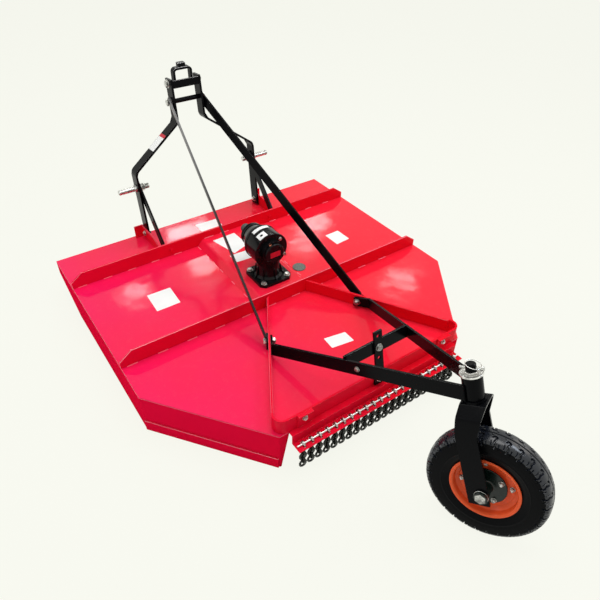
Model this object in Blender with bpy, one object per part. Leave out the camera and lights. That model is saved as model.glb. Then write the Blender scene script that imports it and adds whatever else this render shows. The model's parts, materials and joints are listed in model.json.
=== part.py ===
# Rotary mower (topper) for a tractor's rear three-point linkage, about 1.5 m wide.
#
# The machine: a flat sheet deck on bent side skirts, two upright cross beams and two ribs on
# the deck, a right-angle gearbox that turns a blade carrier with two swinging blades, an
# A-frame hitch with its braces, and a castered tail wheel on an inclined frame. A short
# curtain of hanging chains closes the rear.
#
# Metres. +X is to the machine's right, +Y forwards to the tractor, +Z up. While the machine is
# modelled, y = 0 is the deck's front edge and z = 0 the floor. The last step moves everything so
# that the origin lies on the floor under the middle of the whole machine's box.

import bpy
import bmesh
from math import acos, atan2, cos, pi, radians, sin, sqrt, tan
from mathutils import Matrix, Vector

# Gaps between pieces
FIT = 0.0003              # seat of a bolted or welded piece
PIN_PLAY = 0.0003         # radial play of a bolt or pin in its hole

# Deck
DECK_WIDTH = 1.500
DECK_LENGTH = 1.432
SIDE_LENGTH = 1.007       # straight side, from the front edge to the angled rear panel
REAR_WIDTH = 0.856        # deck's width at its rear edge
DECK_TOP = 0.172
DECK_SHEET = 0.004
DECK_BORE = 0.056         # radius of the hole round the gearbox's lower housing

# Skirts
SKIRT_SHEET = 0.004
SKIRT_RETURN = 0.040      # how far the skirt wraps round the rear corner, at its top
NOSE_RISE = 0.105         # height of the raised front end of the skirt's lower edge
NOSE_LENGTH = 0.240
BAND_HEIGHT = 0.050
BAND_THICKNESS = 0.006

# Beams, ribs and rear flange, all upright flat bars
BEAM_THICKNESS = 0.008
BEAM_HEIGHT = 0.068
BEAM_END_HEIGHT = 0.030
BEAM_CHAMFER = 0.052
FRONT_BEAM_Y = -0.250     # front face of each beam
REAR_BEAM_Y = -0.830
RIB_THICKNESS = 0.008
RIB_HEIGHT = 0.056
RIB_FRONT_X = 0.100
RIB_REAR_X = 0.451        # where a rib's line meets the rear flange's line
FLANGE_INSET = 0.004      # rear flange's middle plane, from the deck's rear edge
FLANGE_BEND = 0.032
FLANGE_LEAD = 0.004       # straight end of the flange before each bend
FLANGE_HEIGHT = 0.062
UNDER_PLATE = 0.004       # clearance between the deck and whatever is bolted to a rib

# Gearbox
GEARBOX_Y = -0.685
PLATFORM_TOP = 0.204       # top face of the folded plate under the gearbox
PLATFORM_HALF = 0.114      # half width of its level top
PLATFORM_FOOT = 0.140      # half width where its sloping sides meet the deck
PLATFORM_SHEET = 0.006
BASE_HALF = 0.080
BASE_THICKNESS = 0.014
BASE_CHAMFER = 0.020
BASE_BOLT_HALF = 0.060
BASE_BOLT_RADIUS = 0.007
NECK_RADIUS = 0.052
SHAFT_HEIGHT = 0.352      # input shaft's centre line over the floor
DRUM_RADIUS = 0.079
DRUM_FRONT = 0.057        # drum's front edge, ahead of the output shaft's axis
DRUM_REAR = 0.030         # its rear face, behind that axis
NOSE_FRONT = 0.138        # front face of the nose that holds the input shaft
NOSE_RADIUS = 0.050
BOSS_REAR = 0.050         # rear face of the boss behind the drum
BOSS_RADIUS = 0.053
COVER_RADIUS = 0.046
COVER_THICKNESS = 0.010
SPIGOT_RADIUS = 0.050
SPIGOT_BOTTOM = 0.140
INPUT_RADIUS = 0.0175
INPUT_STUB = 0.060
DISC_X = 0.172
DISC_Y = -0.679
DISC_RADIUS = 0.031
DISC_SHEET = 0.005

# Rotor
OUTPUT_RADIUS = 0.020
OUTPUT_ENGAGED = 0.030
CARRIER_BOTTOM = 0.088
CARRIER_THICKNESS = 0.012
CARRIER_WIDTH = 0.090
CARRIER_HALF = 0.390
HUB_RADIUS = 0.048
HUB_HEIGHT = 0.030
BLADE_PIVOT = 0.345
BLADE_REACH = 0.290       # from the pivot bolt to the blade's tip
BLADE_WIDTH = 0.070
BLADE_THICKNESS = 0.010
BLADE_GAP = 0.0006
BLADE_BOLT_RADIUS = 0.012
BLADE_HEAD_RADIUS = 0.022
BLADE_HEAD = 0.012

# Three-point hitch
HITCH_HALF = 0.3115       # middle of an A-frame leg, from the middle of the machine
MAST_HALF = 0.068
LEG_THICKNESS = 0.010
LEG_WIDTH = 0.058
LEG_FOOT = 0.178
LEG_LOWER_BEND = 0.518
LEG_UPPER_BEND = 0.702
MAST_TOP = 0.890
LEG_FOOT_Y = -0.056
HITCH_LEAN = radians(4.8)  # the A-frame leans forwards
LOWER_PIN_HEIGHT = 0.440
LOWER_PIN_RADIUS = 0.011
LOWER_PIN_INNER = HITCH_HALF - 0.0555
LOWER_PIN_OUTER = HITCH_HALF + 0.0925
UPPER_BOLT_HEIGHT = 0.868
LOWER_BOLT_HEIGHT = 0.789
MAST_BOLT_FORWARD = 0.008  # both mast bolts, from the plates' middle line
MAST_BOLT_RADIUS = 0.0095
MAST_SPOT = 0.0175         # radius cleared round the lower mast bolt's head and nut
STRUT_WIDTH = 0.040
STRUT_THICKNESS = 0.008
STRUT_BOLT_RADIUS = 0.0057
STRUT_BOLT_INSET = 0.036  # bolt in the front beam, inside the leg's middle
STRUT_BOLT_RISE = 0.030   # and over the deck
FOOT_BOLT_RADIUS = 0.007
FOOT_BOLT_RISE = 0.032    # over the deck
BRACKET_SHEET = 0.006
BRACKET_HEIGHT = 0.062
BRACKET_FLANGE = 0.045
BRACKET_FRONT = -0.014
BRACE_WIDTH = 0.040
BRACE_THICKNESS = 0.008

# Top-link yoke between the mast's plates
YOKE_HALF = 0.046         # outer half width
YOKE_SHEET = 0.010
YOKE_WIDTH = 0.030
YOKE_RISE = 0.064         # from its pivot to its top
YOKE_BLOCK = 0.034
MAST_BAND_HEIGHT = 0.034
MAST_BAND_SHEET = 0.008

# Tail wheel frame
FRAME_SLOPE = radians(22.5)
PIVOT_AHEAD = 0.387       # pivot bolts, ahead of the deck's rear edge
FRAME_PIVOT_Y = -DECK_LENGTH + PIVOT_AHEAD
FRAME_PIVOT_Z = 0.199
FRAME_REACH = 0.815       # pivot bolts to the swivel axis, along the slope
ARM_WIDTH = 0.050
ARM_DROP = 0.022          # arms' centre line below the pivot bolts, square to the slope
ARM_THICKNESS = 0.008
PIVOT_BOLT_RADIUS = 0.008
PIVOT_SPOT = 0.016        # radius cleared round each pivot bolt's head and nut
TAB_HALF = 0.026          # brace's foot plate, each way from the pivot bolt
TAB_CORNER = 0.008
ARM_TAB_FRONT = 0.015     # front end of each arm, ahead of its pivot bolt
ARM_TAB_TOP = 0.018       # and how high it stands there over the bolt
ARM_BEND = 0.054          # along the rib from the pivot bolt to where the arm leaves it
ARM_BEND_LIFT = 0.007     # arm's centre line there, over the pivot bolts
CROSSBAR_CENTRE = 0.341   # over the floor
CROSSBAR_HEIGHT = 0.052
STRAP_WIDTH = 0.036
STRAP_SHEET = 0.008
STRAP_LEAN = radians(12.8)
STRAP_FOOT = 0.176        # strap's lower end over the floor
STRAP_HEAD = 0.405        # its upper end
STRAP_FOOT_BOLT = 0.207   # bolt through the strap and the rear flange, over the floor
STRAP_HOLE_PITCH = 0.045
STRAP_HOLE_RADIUS = 0.0072
BARREL_TUBE_RADIUS = 0.031
BARREL_TUBE_RISE = 0.050  # from the arms' centre line to the barrel's top
BARREL_TUBE_DROP = 0.026  # and to its bottom

# Caster, measured down the swivel axis from the middle of its barrel
SPINDLE_RADIUS = 0.016
STEER = radians(24.7)     # the wheel stands turned, as in the photograph
TRAIL = 0.011
THRUST_WASHER = 0.006
TOP_WASHER_RADIUS = 0.035
TOP_WASHER = 0.006
SPINDLE_STUB = 0.036
LINCH_PIN_RISE = 0.020    # above the barrel's top
FORK_HALF = 0.072         # outer half width
FORK_SHEET = 0.008
FORK_FRONT = 0.046        # front edge of the fork's blank
FORK_REAR = 0.046         # its rear edge, behind the swivel axis
FORK_CROWN_HALF = 0.034   # half width of its level crown, under the barrel
FORK_SHOULDER = 0.062     # depth of its sloping shoulders below the arms' centre line
FORK_CORNER = 0.111       # where the cut corner of its front edge ends
FORK_NECK = 0.036         # its front edge below the barrel
FORK_WAIST = 0.018        # its rear edge at its narrowest
FORK_FOOT = 0.034         # its rear edge at the axle
FORK_END = 0.034          # below the axle
FORK_BEND = 0.022
THRUST_RADIUS = 0.036
AXLE_RADIUS = 0.010

# Wheel
TYRE_RADIUS = 0.190
TYRE_HALF = 0.043
BEAD_RADIUS = 0.1000
RIM_RADIUS = 0.108
RIM_HALF = 0.038
WHEEL_HUB_RADIUS = 0.021
WHEEL_HUB_HALF = 0.050
TYRE_WALL = 0.036         # from the tread down to the tyre's widest part
RIM_SHEET = 0.003
RIM_DISH = 0.060          # radius where the rim's disc is dished
RIM_FACE = 0.050          # radius of the flat ring bolted to the hub
WHEEL_SEGMENTS = 28       # the same for tyre and rim, so that their flats seat on each other

# Chain guard
GUARD_HALF = 0.391
GUARD_SHEET = 0.004
GUARD_TOP_DEPTH = 0.023
GUARD_WEB = 0.040
GUARD_SHELF = 0.043
EAR_X = 0.328
EAR_HALF = 0.030
EAR_HEIGHT = 0.062
EAR_LIP = 0.010
EAR_BOLT_RADIUS = 0.005
EAR_BOLT_RISE = 0.036     # over the deck
ROD_RADIUS = 0.004
CHAIN_COUNT = 22
CHAIN_PITCH = 0.0345
LINK_WIRE = 0.0035        # wire's radius
LINK_LENGTH = 0.034
LINK_WIDTH = 0.024
LINKS_PER_CHAIN = 3
LINK_SIDES = 3            # flats round a link's wire
LINK_SEAT = 0.0005        # how far each link is pressed into the one that carries it

# Finishes: base colour, roughness, metallic
FINISHES = {
    "red_paint": ((0.72, 0.010, 0.030, 1), 0.30, 0.0),
    "black_paint": ((0.012, 0.012, 0.013, 1), 0.35, 0.0),
    "orange_paint": ((0.85, 0.10, 0.02, 1), 0.35, 0.0),
    "zinc": ((0.62, 0.62, 0.60, 1), 0.35, 1.0),
    "tyre": ((0.020, 0.020, 0.022, 1), 0.80, 0.0),
    "bare_steel": ((0.30, 0.29, 0.28, 1), 0.45, 1.0),
    "dark_chain": ((0.03, 0.03, 0.03, 1), 0.45, 1.0),
    "grey_plastic": ((0.10, 0.10, 0.10, 1), 0.6, 0.0),
    "green_black": ((0.02, 0.05, 0.04, 1), 0.4, 0.0),
}

X_AXIS = Vector((1, 0, 0))
Y_AXIS = Vector((0, 1, 0))
Z_AXIS = Vector((0, 0, 1))


# Shapes

def frame_matrix(origin, z_axis, x_axis):
    """Matrix that carries local coordinates to an origin with the given Z and X directions."""
    z_dir = Vector(z_axis).normalized()
    x_dir = Vector(x_axis)
    x_dir = (x_dir - z_dir * x_dir.dot(z_dir)).normalized()
    y_dir = z_dir.cross(x_dir)
    matrix = Matrix((x_dir, y_dir, z_dir)).transposed().to_4x4()
    matrix.translation = Vector(origin)
    return matrix


def placed(shape, matrix):
    bmesh.ops.transform(shape, matrix=matrix, verts=shape.verts)
    if matrix.determinant() < 0:
        bmesh.ops.reverse_faces(shape, faces=shape.faces)
    return shape


def prism(outline, depth, matrix=None):
    """A flat outline on XY, drawn counter-clockwise, extruded by depth along +Z."""
    shape = bmesh.new()
    face = shape.faces.new([shape.verts.new((x, y, 0)) for x, y in outline])
    extruded = bmesh.ops.extrude_face_region(shape, geom=[face])
    top = [item for item in extruded["geom"] if isinstance(item, bmesh.types.BMVert)]
    bmesh.ops.translate(shape, vec=(0, 0, depth), verts=top)
    bmesh.ops.recalc_face_normals(shape, faces=shape.faces)
    return placed(shape, matrix) if matrix else shape


def box(low, high):
    (x0, y0, z0), (x1, y1, z1) = low, high
    shape = prism([(x0, y0), (x1, y0), (x1, y1), (x0, y1)], z1 - z0)
    return placed(shape, Matrix.Translation((0, 0, z0)))


def turned(profile, segments, matrix=None):
    """A profile of (radius, height) pairs spun round Z. An end at radius 0 closes on the axis."""
    shape = bmesh.new()
    points = [shape.verts.new((radius, 0, height)) for radius, height in profile]
    edges = [shape.edges.new(pair) for pair in zip(points, points[1:])]
    if profile[0][0] > 0 and profile[-1][0] > 0:
        edges.append(shape.edges.new((points[-1], points[0])))
    bmesh.ops.spin(shape, geom=points + edges, axis=(0, 0, 1), cent=(0, 0, 0),
                   angle=2 * pi, steps=segments, use_merge=True)
    bmesh.ops.remove_doubles(shape, verts=shape.verts, dist=0.00001)
    bmesh.ops.recalc_face_normals(shape, faces=shape.faces)
    return placed(shape, matrix) if matrix else shape


def rod(radius, start, end, segments=12):
    """A round bar from one point to another."""
    start, end = Vector(start), Vector(end)
    along = end - start
    side = X_AXIS if abs(along.normalized().x) < 0.9 else Y_AXIS
    profile = [(0, 0), (radius, 0), (radius, along.length), (0, along.length)]
    return turned(profile, segments, frame_matrix(start, along, side))


def hexagon(radius, start, end):
    return rod(radius, start, end, segments=6)


def swept(path, across, width, thickness):
    """A flat bar along a path, bent flatwise: across is its width's direction all the way."""
    across = Vector(across).normalized()
    points = [Vector(point) for point in path]
    shape = bmesh.new()
    rings = []
    for index, point in enumerate(points):
        before = (point - points[index - 1]).normalized() if index else None
        after = (points[index + 1] - point).normalized() if index + 1 < len(points) else None
        sides = [across.cross(step) for step in (before, after) if step]
        through = sum(sides, Vector()).normalized()
        reach = thickness / 2 / through.dot(sides[0])
        rings.append([shape.verts.new(point + across * width / 2 * a + through * reach * b)
                      for a, b in ((-1, -1), (1, -1), (1, 1), (-1, 1))])
    for ring, following in zip(rings, rings[1:]):
        for k in range(4):
            shape.faces.new((ring[k], ring[(k + 1) % 4], following[(k + 1) % 4], following[k]))
    shape.faces.new(rings[0])
    shape.faces.new(rings[-1])
    bmesh.ops.recalc_face_normals(shape, faces=shape.faces)
    return shape


def arc(centre, radius, start, end, steps):
    """Points on a circle between two angles."""
    cx, cy = centre
    angles = [start + (end - start) * k / steps for k in range(steps + 1)]
    return [(cx + radius * cos(a), cy + radius * sin(a)) for a in angles]


def rounded_corner(before, corner, after, radius, steps=5):
    """The arc that rounds a corner of an outline or a path, as points."""
    corner = Vector(corner)
    inward = (Vector(before) - corner).normalized()
    outward = (Vector(after) - corner).normalized()
    half = acos(max(-1, min(1, inward.dot(outward)))) / 2
    centre = corner + (inward + outward).normalized() * radius / sin(half)
    first = corner + inward * radius / tan(half) - centre
    last = corner + outward * radius / tan(half) - centre
    start = atan2(first.y, first.x)
    turn = (atan2(last.y, last.x) - start + pi) % (2 * pi) - pi
    return arc(centre, radius, start, start + turn, steps)


def as_object(shape, name="shape"):
    mesh = bpy.data.meshes.new(name)
    shape.to_mesh(mesh)
    shape.free()
    item = bpy.data.objects.new(name, mesh)
    bpy.context.scene.collection.objects.link(item)
    return item


def boolean(operation, base, tools):
    """One body from a shape and its tools, by exact booleans one after the other."""
    for tool in tools:
        body, helper = as_object(base), as_object(tool)
        step = body.modifiers.new(operation.lower(), "BOOLEAN")
        step.operation = operation
        step.solver = "EXACT"
        step.object = helper
        evaluated = body.evaluated_get(bpy.context.evaluated_depsgraph_get())
        base = bmesh.new()
        base.from_mesh(evaluated.to_mesh())
        evaluated.to_mesh_clear()
        for used in (body, helper):
            mesh = used.data
            bpy.data.objects.remove(used)
            bpy.data.meshes.remove(mesh)
        bmesh.ops.remove_doubles(base, verts=base.verts, dist=0.000005)
    return base


def joined(base, *tools):
    return boolean("UNION", base, tools)


def carved(base, *tools):
    return boolean("DIFFERENCE", base, tools)


def piece(name, shape, finish, parent, sharp=radians(32)):
    """The finished piece as a named object with a material of its own."""
    item = as_object(shape, name)
    colour, roughness, metallic = FINISHES[finish]
    skin = bpy.data.materials.new(name)
    skin.use_nodes = True
    principled = skin.node_tree.nodes["Principled BSDF"]
    principled.inputs["Base Color"].default_value = colour
    principled.inputs["Roughness"].default_value = roughness
    principled.inputs["Metallic"].default_value = metallic
    item.data.materials.append(skin)
    item.data.shade_smooth()
    item.data.set_sharp_from_angle(angle=sharp)
    item.parent = parent
    return item


def empty(name, parent=None, matrix=None):
    item = bpy.data.objects.new(name, None)
    bpy.context.scene.collection.objects.link(item)
    item.parent = parent
    if matrix:
        item.matrix_local = matrix
    return item


def mirrored(shape, side):
    """The shape as drawn for the right-hand side, or its mirror image for side -1."""
    return placed(shape, Matrix.Scale(side, 4, X_AXIS)) if side < 0 else shape


# Deck, skirts and bars

SIDES = (("left", -1), ("right", 1))
HALF = DECK_WIDTH / 2
REAR_HALF = REAR_WIDTH / 2
UNDER_DECK = DECK_TOP - DECK_SHEET


def deck_plate(machine):
    outline = [(-HALF, 0), (-HALF, -SIDE_LENGTH), (-REAR_HALF, -DECK_LENGTH),
               (REAR_HALF, -DECK_LENGTH), (HALF, -SIDE_LENGTH), (HALF, 0)]
    sheet = prism(outline, DECK_SHEET, Matrix.Translation((0, 0, UNDER_DECK)))
    bore = rod(DECK_BORE, (0, GEARBOX_Y, 0), (0, GEARBOX_Y, 2 * DECK_TOP), 24)
    piece("deck_plate", carved(sheet, bore), "red_paint", machine)


def inset_wall(path, thickness):
    """Plan outline of a sheet that follows a path, its thickness laid to the path's left."""
    points = [Vector(point) for point in path]
    inner = []
    for index, point in enumerate(points):
        steps = []
        if index:
            steps.append((point - points[index - 1]).normalized())
        if index + 1 < len(points):
            steps.append((points[index + 1] - point).normalized())
        lefts = [Vector((-step.y, step.x)) for step in steps]
        through = sum(lefts, Vector((0, 0))).normalized()
        inner.append(point + through * thickness / through.dot(lefts[0]))
    return [tuple(point) for point in points + inner[::-1]]


def side_skirts(machine):
    """Side, angled rear panel and a tapered return round the rear corner, of one bent sheet."""
    path = [(-HALF, 0), (-HALF, -SIDE_LENGTH), (-REAR_HALF, -DECK_LENGTH),
            (-REAR_HALF + SKIRT_RETURN, -DECK_LENGTH)]
    top = UNDER_DECK - FIT
    for name, side in SIDES:
        sheet = prism(inset_wall(path, SKIRT_SHEET), top)
        nose = [(0.01, -0.01), (0.01, NOSE_RISE), (0, NOSE_RISE), (-NOSE_LENGTH, 0),
                (-NOSE_LENGTH, -0.01)]
        nose_cut = prism(nose[::-1], DECK_WIDTH, frame_matrix((-DECK_WIDTH, 0, 0), X_AXIS, Y_AXIS))
        taper = [(-REAR_HALF + SKIRT_SHEET, -0.01), (-REAR_HALF + 2 * SKIRT_RETURN, -0.01),
                 (-REAR_HALF + 2 * SKIRT_RETURN, top + 0.01), (-REAR_HALF + SKIRT_RETURN, top)]
        taper_cut = prism(taper, 0.1, frame_matrix((0, -DECK_LENGTH + 0.05, 0), -Y_AXIS, X_AXIS))
        shape = carved(sheet, nose_cut, taper_cut)
        piece(f"side_skirt_{name}", mirrored(shape, -side), "red_paint", machine)


def skirt_bands(machine):
    """Flat bar along the foot of each angled panel."""
    start = Vector((-HALF, -SIDE_LENGTH))
    end = Vector((-REAR_HALF, -DECK_LENGTH))
    along = (end - start).normalized()
    out = Vector((along.y, -along.x)) if along.y < 0 else Vector((-along.y, along.x))
    out = Vector((-abs(out.x), -abs(out.y)))
    a = start + out * FIT + along * 0.004
    b = end + out * FIT - along * 0.004
    outline = [tuple(a), tuple(a + out * BAND_THICKNESS), tuple(b + out * BAND_THICKNESS), tuple(b)]
    for name, side in SIDES:
        shape = prism(outline, BAND_HEIGHT)
        piece(f"skirt_band_{name}", mirrored(shape, -side), "red_paint", machine)


def cross_beams(machine):
    """Upright flat bars across the deck, their upper corners cut down at the ends."""
    low = DECK_TOP + FIT
    shoulder = HALF - BEAM_CHAMFER
    outline = [(-HALF, low), (HALF, low), (HALF, low + BEAM_END_HEIGHT), (shoulder, low + BEAM_HEIGHT),
               (-shoulder, low + BEAM_HEIGHT), (-HALF, low + BEAM_END_HEIGHT)]
    for name, face_y in (("front_beam", FRONT_BEAM_Y), ("rear_beam", REAR_BEAM_Y)):
        shape = prism(outline, BEAM_THICKNESS, frame_matrix((0, face_y, 0), -Y_AXIS, X_AXIS))
        if name == "front_beam":
            holes = [rod(STRUT_BOLT_RADIUS + PIN_PLAY, (x, face_y + 0.02, STRUT_BOLT_Z),
                         (x, face_y - 0.04, STRUT_BOLT_Z)) for x in (-STRUT_BOLT_X, STRUT_BOLT_X)]
            shape = carved(shape, *holes)
        piece(name, shape, "red_paint", machine)


FLANGE_Y = -DECK_LENGTH + FLANGE_INSET
RIB_START = Vector((RIB_FRONT_X, REAR_BEAM_Y - BEAM_THICKNESS - FIT))
RIB_CORNER = Vector((RIB_REAR_X, FLANGE_Y))
RIB_ALONG = (RIB_CORNER - RIB_START).normalized()
RIB_OUT = Vector((-RIB_ALONG.y, RIB_ALONG.x))
RIB_ARC = rounded_corner(RIB_START, RIB_CORNER, (0, FLANGE_Y), FLANGE_BEND, 6)
RIB_END = Vector(RIB_ARC[0]) - RIB_ALONG * FLANGE_LEAD
PIVOT_AT = RIB_START + RIB_ALONG * ((FRAME_PIVOT_Y - RIB_START.y) / RIB_ALONG.y)


def ribs(machine):
    low = DECK_TOP + FIT
    middle = low + RIB_HEIGHT / 2
    for name, side in SIDES:
        start = RIB_START - RIB_ALONG * 0.02
        end = RIB_END - RIB_ALONG * FIT
        bar = swept([(*start, middle), (*end, middle)], Z_AXIS, RIB_HEIGHT, RIB_THICKNESS)
        beam_face = box((-1, RIB_START.y, 0), (1, 0, 1))
        hole = rod(PIVOT_BOLT_RADIUS + PIN_PLAY, bolt_point(-0.05), bolt_point(0.05))
        piece(f"rib_{name}", mirrored(carved(bar, beam_face, hole), side), "red_paint", machine)


def bolt_point(offset):
    """A point on the frame's right pivot bolt, offset outwards from the rib's middle plane."""
    at = PIVOT_AT + RIB_OUT * offset
    return (at.x, at.y, FRAME_PIVOT_Z)


def rear_flange(machine):
    """The upright bar along the rear edge, bent round at both ends to meet the ribs."""
    middle = DECK_TOP + FIT + FLANGE_HEIGHT / 2
    bend = [tuple(RIB_END)] + RIB_ARC
    left = [(-x, y, middle) for x, y in bend]
    right = [(x, y, middle) for x, y in bend[::-1]]
    bar = swept(left + right, Z_AXIS, FLANGE_HEIGHT, RIB_THICKNESS)
    holes = [rod(EAR_BOLT_RADIUS + PIN_PLAY, (x, FLANGE_Y - 0.03, EAR_BOLT_Z),
                 (x, FLANGE_Y + 0.03, EAR_BOLT_Z)) for x in (-EAR_X, EAR_X)]
    holes.append(rod(STRAP_HOLE_RADIUS, (0, FLANGE_Y - 0.03, STRAP_FOOT_BOLT),
                     (0, FLANGE_Y + 0.03, STRAP_FOOT_BOLT), 16))
    piece("rear_flange", carved(bar, *holes), "red_paint", machine)


# Gearbox

def gearbox_plates(machine):
    front = FRONT_BEAM_Y - BEAM_THICKNESS - FIT
    rear = REAR_BEAM_Y + FIT
    foot, top = DECK_TOP + FIT, PLATFORM_TOP
    side = 1.42 * PLATFORM_SHEET
    inner_half = PLATFORM_HALF - 0.41 * PLATFORM_SHEET
    section = [(-PLATFORM_FOOT, foot), (-PLATFORM_HALF, top), (PLATFORM_HALF, top),
               (PLATFORM_FOOT, foot),
               (PLATFORM_FOOT - side, foot), (inner_half, top - PLATFORM_SHEET),
               (-inner_half, top - PLATFORM_SHEET), (-PLATFORM_FOOT + side, foot)]
    sheet = prism(section, front - rear, frame_matrix((0, front, 0), -Y_AXIS, X_AXIS))
    bore = rod(DECK_BORE, (0, GEARBOX_Y, 0), (0, GEARBOX_Y, 1), 24)
    piece("gearbox_plate", carved(sheet, bore), "red_paint", machine)
    profile = [(0, DECK_TOP + FIT), (DISC_RADIUS, DECK_TOP + FIT),
               (DISC_RADIUS, DECK_TOP + DISC_SHEET - 0.0015),
               (DISC_RADIUS - 0.0015, DECK_TOP + DISC_SHEET), (0, DECK_TOP + DISC_SHEET)]
    disc = turned(profile, 24, Matrix.Translation((DISC_X, DISC_Y, 0)))
    piece("access_disc", disc, "grey_plastic", machine)


def gearbox(machine):
    """Cast housing: a bolted foot, a round neck, a lying drum with a nose and a boss, a spigot."""
    seat = PLATFORM_TOP + FIT
    foot = prism(chamfered_square(BASE_HALF, BASE_CHAMFER), BASE_THICKNESS,
                 Matrix.Translation((0, GEARBOX_Y, seat)))
    top = seat + BASE_THICKNESS
    neck_top = SHAFT_HEIGHT - DRUM_RADIUS / 2
    neck = turned([(0, SPIGOT_BOTTOM), (SPIGOT_RADIUS, SPIGOT_BOTTOM), (SPIGOT_RADIUS, seat + 0.004),
                   (NECK_RADIUS + 0.012, seat + 0.005), (NECK_RADIUS + 0.012, top + 0.003),
                   (NECK_RADIUS + 0.003, top + 0.012), (NECK_RADIUS, top + 0.03),
                   (NECK_RADIUS, neck_top), (0, neck_top)], 24,
                  Matrix.Translation((0, GEARBOX_Y, 0)))
    lying = frame_matrix((0, GEARBOX_Y, SHAFT_HEIGHT), Y_AXIS, X_AXIS)
    drum = turned([(0, -BOSS_REAR), (BOSS_RADIUS, -BOSS_REAR), (BOSS_RADIUS, -DRUM_REAR),
                   (DRUM_RADIUS, -DRUM_REAR), (DRUM_RADIUS, DRUM_FRONT),
                   (DRUM_RADIUS - 0.012, DRUM_FRONT + 0.028), (NOSE_RADIUS + 0.002, NOSE_FRONT - 0.022),
                   (NOSE_RADIUS, NOSE_FRONT), (0, NOSE_FRONT)], 28, lying)
    reach = 2 * NECK_RADIUS
    boss_rear = GEARBOX_Y - BOSS_REAR
    behind = box((-reach, boss_rear - reach, SHAFT_HEIGHT - BOSS_RADIUS - 0.003),
                 (reach, boss_rear, SHAFT_HEIGHT + reach))
    body = joined(foot, neck, drum)
    input_bore = rod(INPUT_RADIUS + PIN_PLAY, (0, GEARBOX_Y + NOSE_FRONT - 0.03, SHAFT_HEIGHT),
                     (0, GEARBOX_Y + NOSE_FRONT + 0.01, SHAFT_HEIGHT), 24)
    output_bore = rod(OUTPUT_RADIUS + PIN_PLAY, (0, GEARBOX_Y, SPIGOT_BOTTOM - 0.01),
                      (0, GEARBOX_Y, SPIGOT_BOTTOM + OUTPUT_ENGAGED + 0.002), 24)
    holes = [rod(BASE_BOLT_RADIUS, (sx * BASE_BOLT_HALF, GEARBOX_Y + sy * BASE_BOLT_HALF, SPIGOT_BOTTOM),
                 (sx * BASE_BOLT_HALF, GEARBOX_Y + sy * BASE_BOLT_HALF, top + BASE_THICKNESS), 12)
             for sx in (-1, 1) for sy in (-1, 1)]
    piece("gearbox_housing", carved(body, behind, input_bore, output_bore, *holes), "black_paint",
          machine)

    back = -BOSS_REAR - FIT
    face = back - COVER_THICKNESS
    cover = turned([(0, face), (COVER_RADIUS - 0.003, face), (COVER_RADIUS, face + 0.003),
                    (COVER_RADIUS, back), (0, back)], 28, lying)
    piece("gearbox_rear_cover", cover, "black_paint", machine)


def chamfered_square(half, cut):
    return [(half, -half + cut), (half, half - cut), (half - cut, half), (-half + cut, half),
            (-half, half - cut), (-half, -half + cut), (-half + cut, -half), (half - cut, -half)]


def input_shaft(machine):
    axis = empty("input_shaft_axis", machine,
                 frame_matrix((0, GEARBOX_Y + NOSE_FRONT, SHAFT_HEIGHT), Y_AXIS, X_AXIS))
    shaft = turned([(0, -0.028), (INPUT_RADIUS, -0.028), (INPUT_RADIUS, 0.012),
                    (INPUT_RADIUS + 0.003, 0.014), (INPUT_RADIUS + 0.003, INPUT_STUB - 0.003),
                    (INPUT_RADIUS, INPUT_STUB), (0, INPUT_STUB)], 16)
    piece("input_shaft", shaft, "grey_plastic", axis)


# Rotor under the deck

def rotor(machine):
    axis = empty("rotor_axis", machine, Matrix.Translation((0, GEARBOX_Y, CARRIER_BOTTOM)))
    engaged = SPIGOT_BOTTOM + OUTPUT_ENGAGED - CARRIER_BOTTOM
    shaft = turned([(0, CARRIER_THICKNESS + FIT), (HUB_RADIUS, CARRIER_THICKNESS + FIT),
                    (HUB_RADIUS - 0.006, CARRIER_THICKNESS + HUB_HEIGHT),
                    (OUTPUT_RADIUS, CARRIER_THICKNESS + HUB_HEIGHT + 0.002),
                    (OUTPUT_RADIUS, engaged), (0, engaged)], 20)
    piece("output_hub", shaft, "bare_steel", axis)
    end = CARRIER_WIDTH / 2
    outline = arc((CARRIER_HALF - end, 0), end, -pi / 2, pi / 2, 8)
    outline += arc((-CARRIER_HALF + end, 0), end, pi / 2, 3 * pi / 2, 8)
    carrier = prism(outline, CARRIER_THICKNESS)
    nut = hexagon(0.028, (0, 0, -0.018), (0, 0, 0.004))
    holes = [rod(BLADE_BOLT_RADIUS + PIN_PLAY, (x, 0, -0.02), (x, 0, 0.03), 16)
             for x in (-BLADE_PIVOT, BLADE_PIVOT)]
    piece("blade_carrier", carved(joined(carrier, nut), *holes), "bare_steel", axis)
    for number, turn in ((1, 0), (2, pi)):
        blade(number, turn, axis)


def blade(number, turn, rotor_axis):
    """A swinging blade with its shouldered bolt, free to turn under the end of the carrier."""
    place = Matrix.Rotation(turn, 4, "Z") @ Matrix.Translation((BLADE_PIVOT, 0, 0))
    pivot = empty(f"blade_pivot_{number}", rotor_axis, place)
    half = BLADE_WIDTH / 2
    outline = arc((0, 0), half, pi / 2, 3 * pi / 2, 8)
    outline += [(BLADE_REACH, -half), (BLADE_REACH, half - 0.012), (BLADE_REACH - 0.012, half)]
    bottom = -BLADE_GAP - BLADE_THICKNESS
    flat = prism(outline, BLADE_THICKNESS, Matrix.Translation((0, 0, bottom)))
    top = CARRIER_THICKNESS + BLADE_GAP
    bolt = turned([(0, bottom - BLADE_HEAD), (BLADE_HEAD_RADIUS, bottom - BLADE_HEAD),
                   (BLADE_HEAD_RADIUS, bottom + 0.001), (BLADE_BOLT_RADIUS, bottom + 0.001),
                   (BLADE_BOLT_RADIUS, top), (BLADE_HEAD_RADIUS, top),
                   (BLADE_HEAD_RADIUS, top + BLADE_HEAD), (0, top + BLADE_HEAD)], 16)
    piece(f"blade_{number}", joined(flat, bolt), "bare_steel", pivot)


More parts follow.
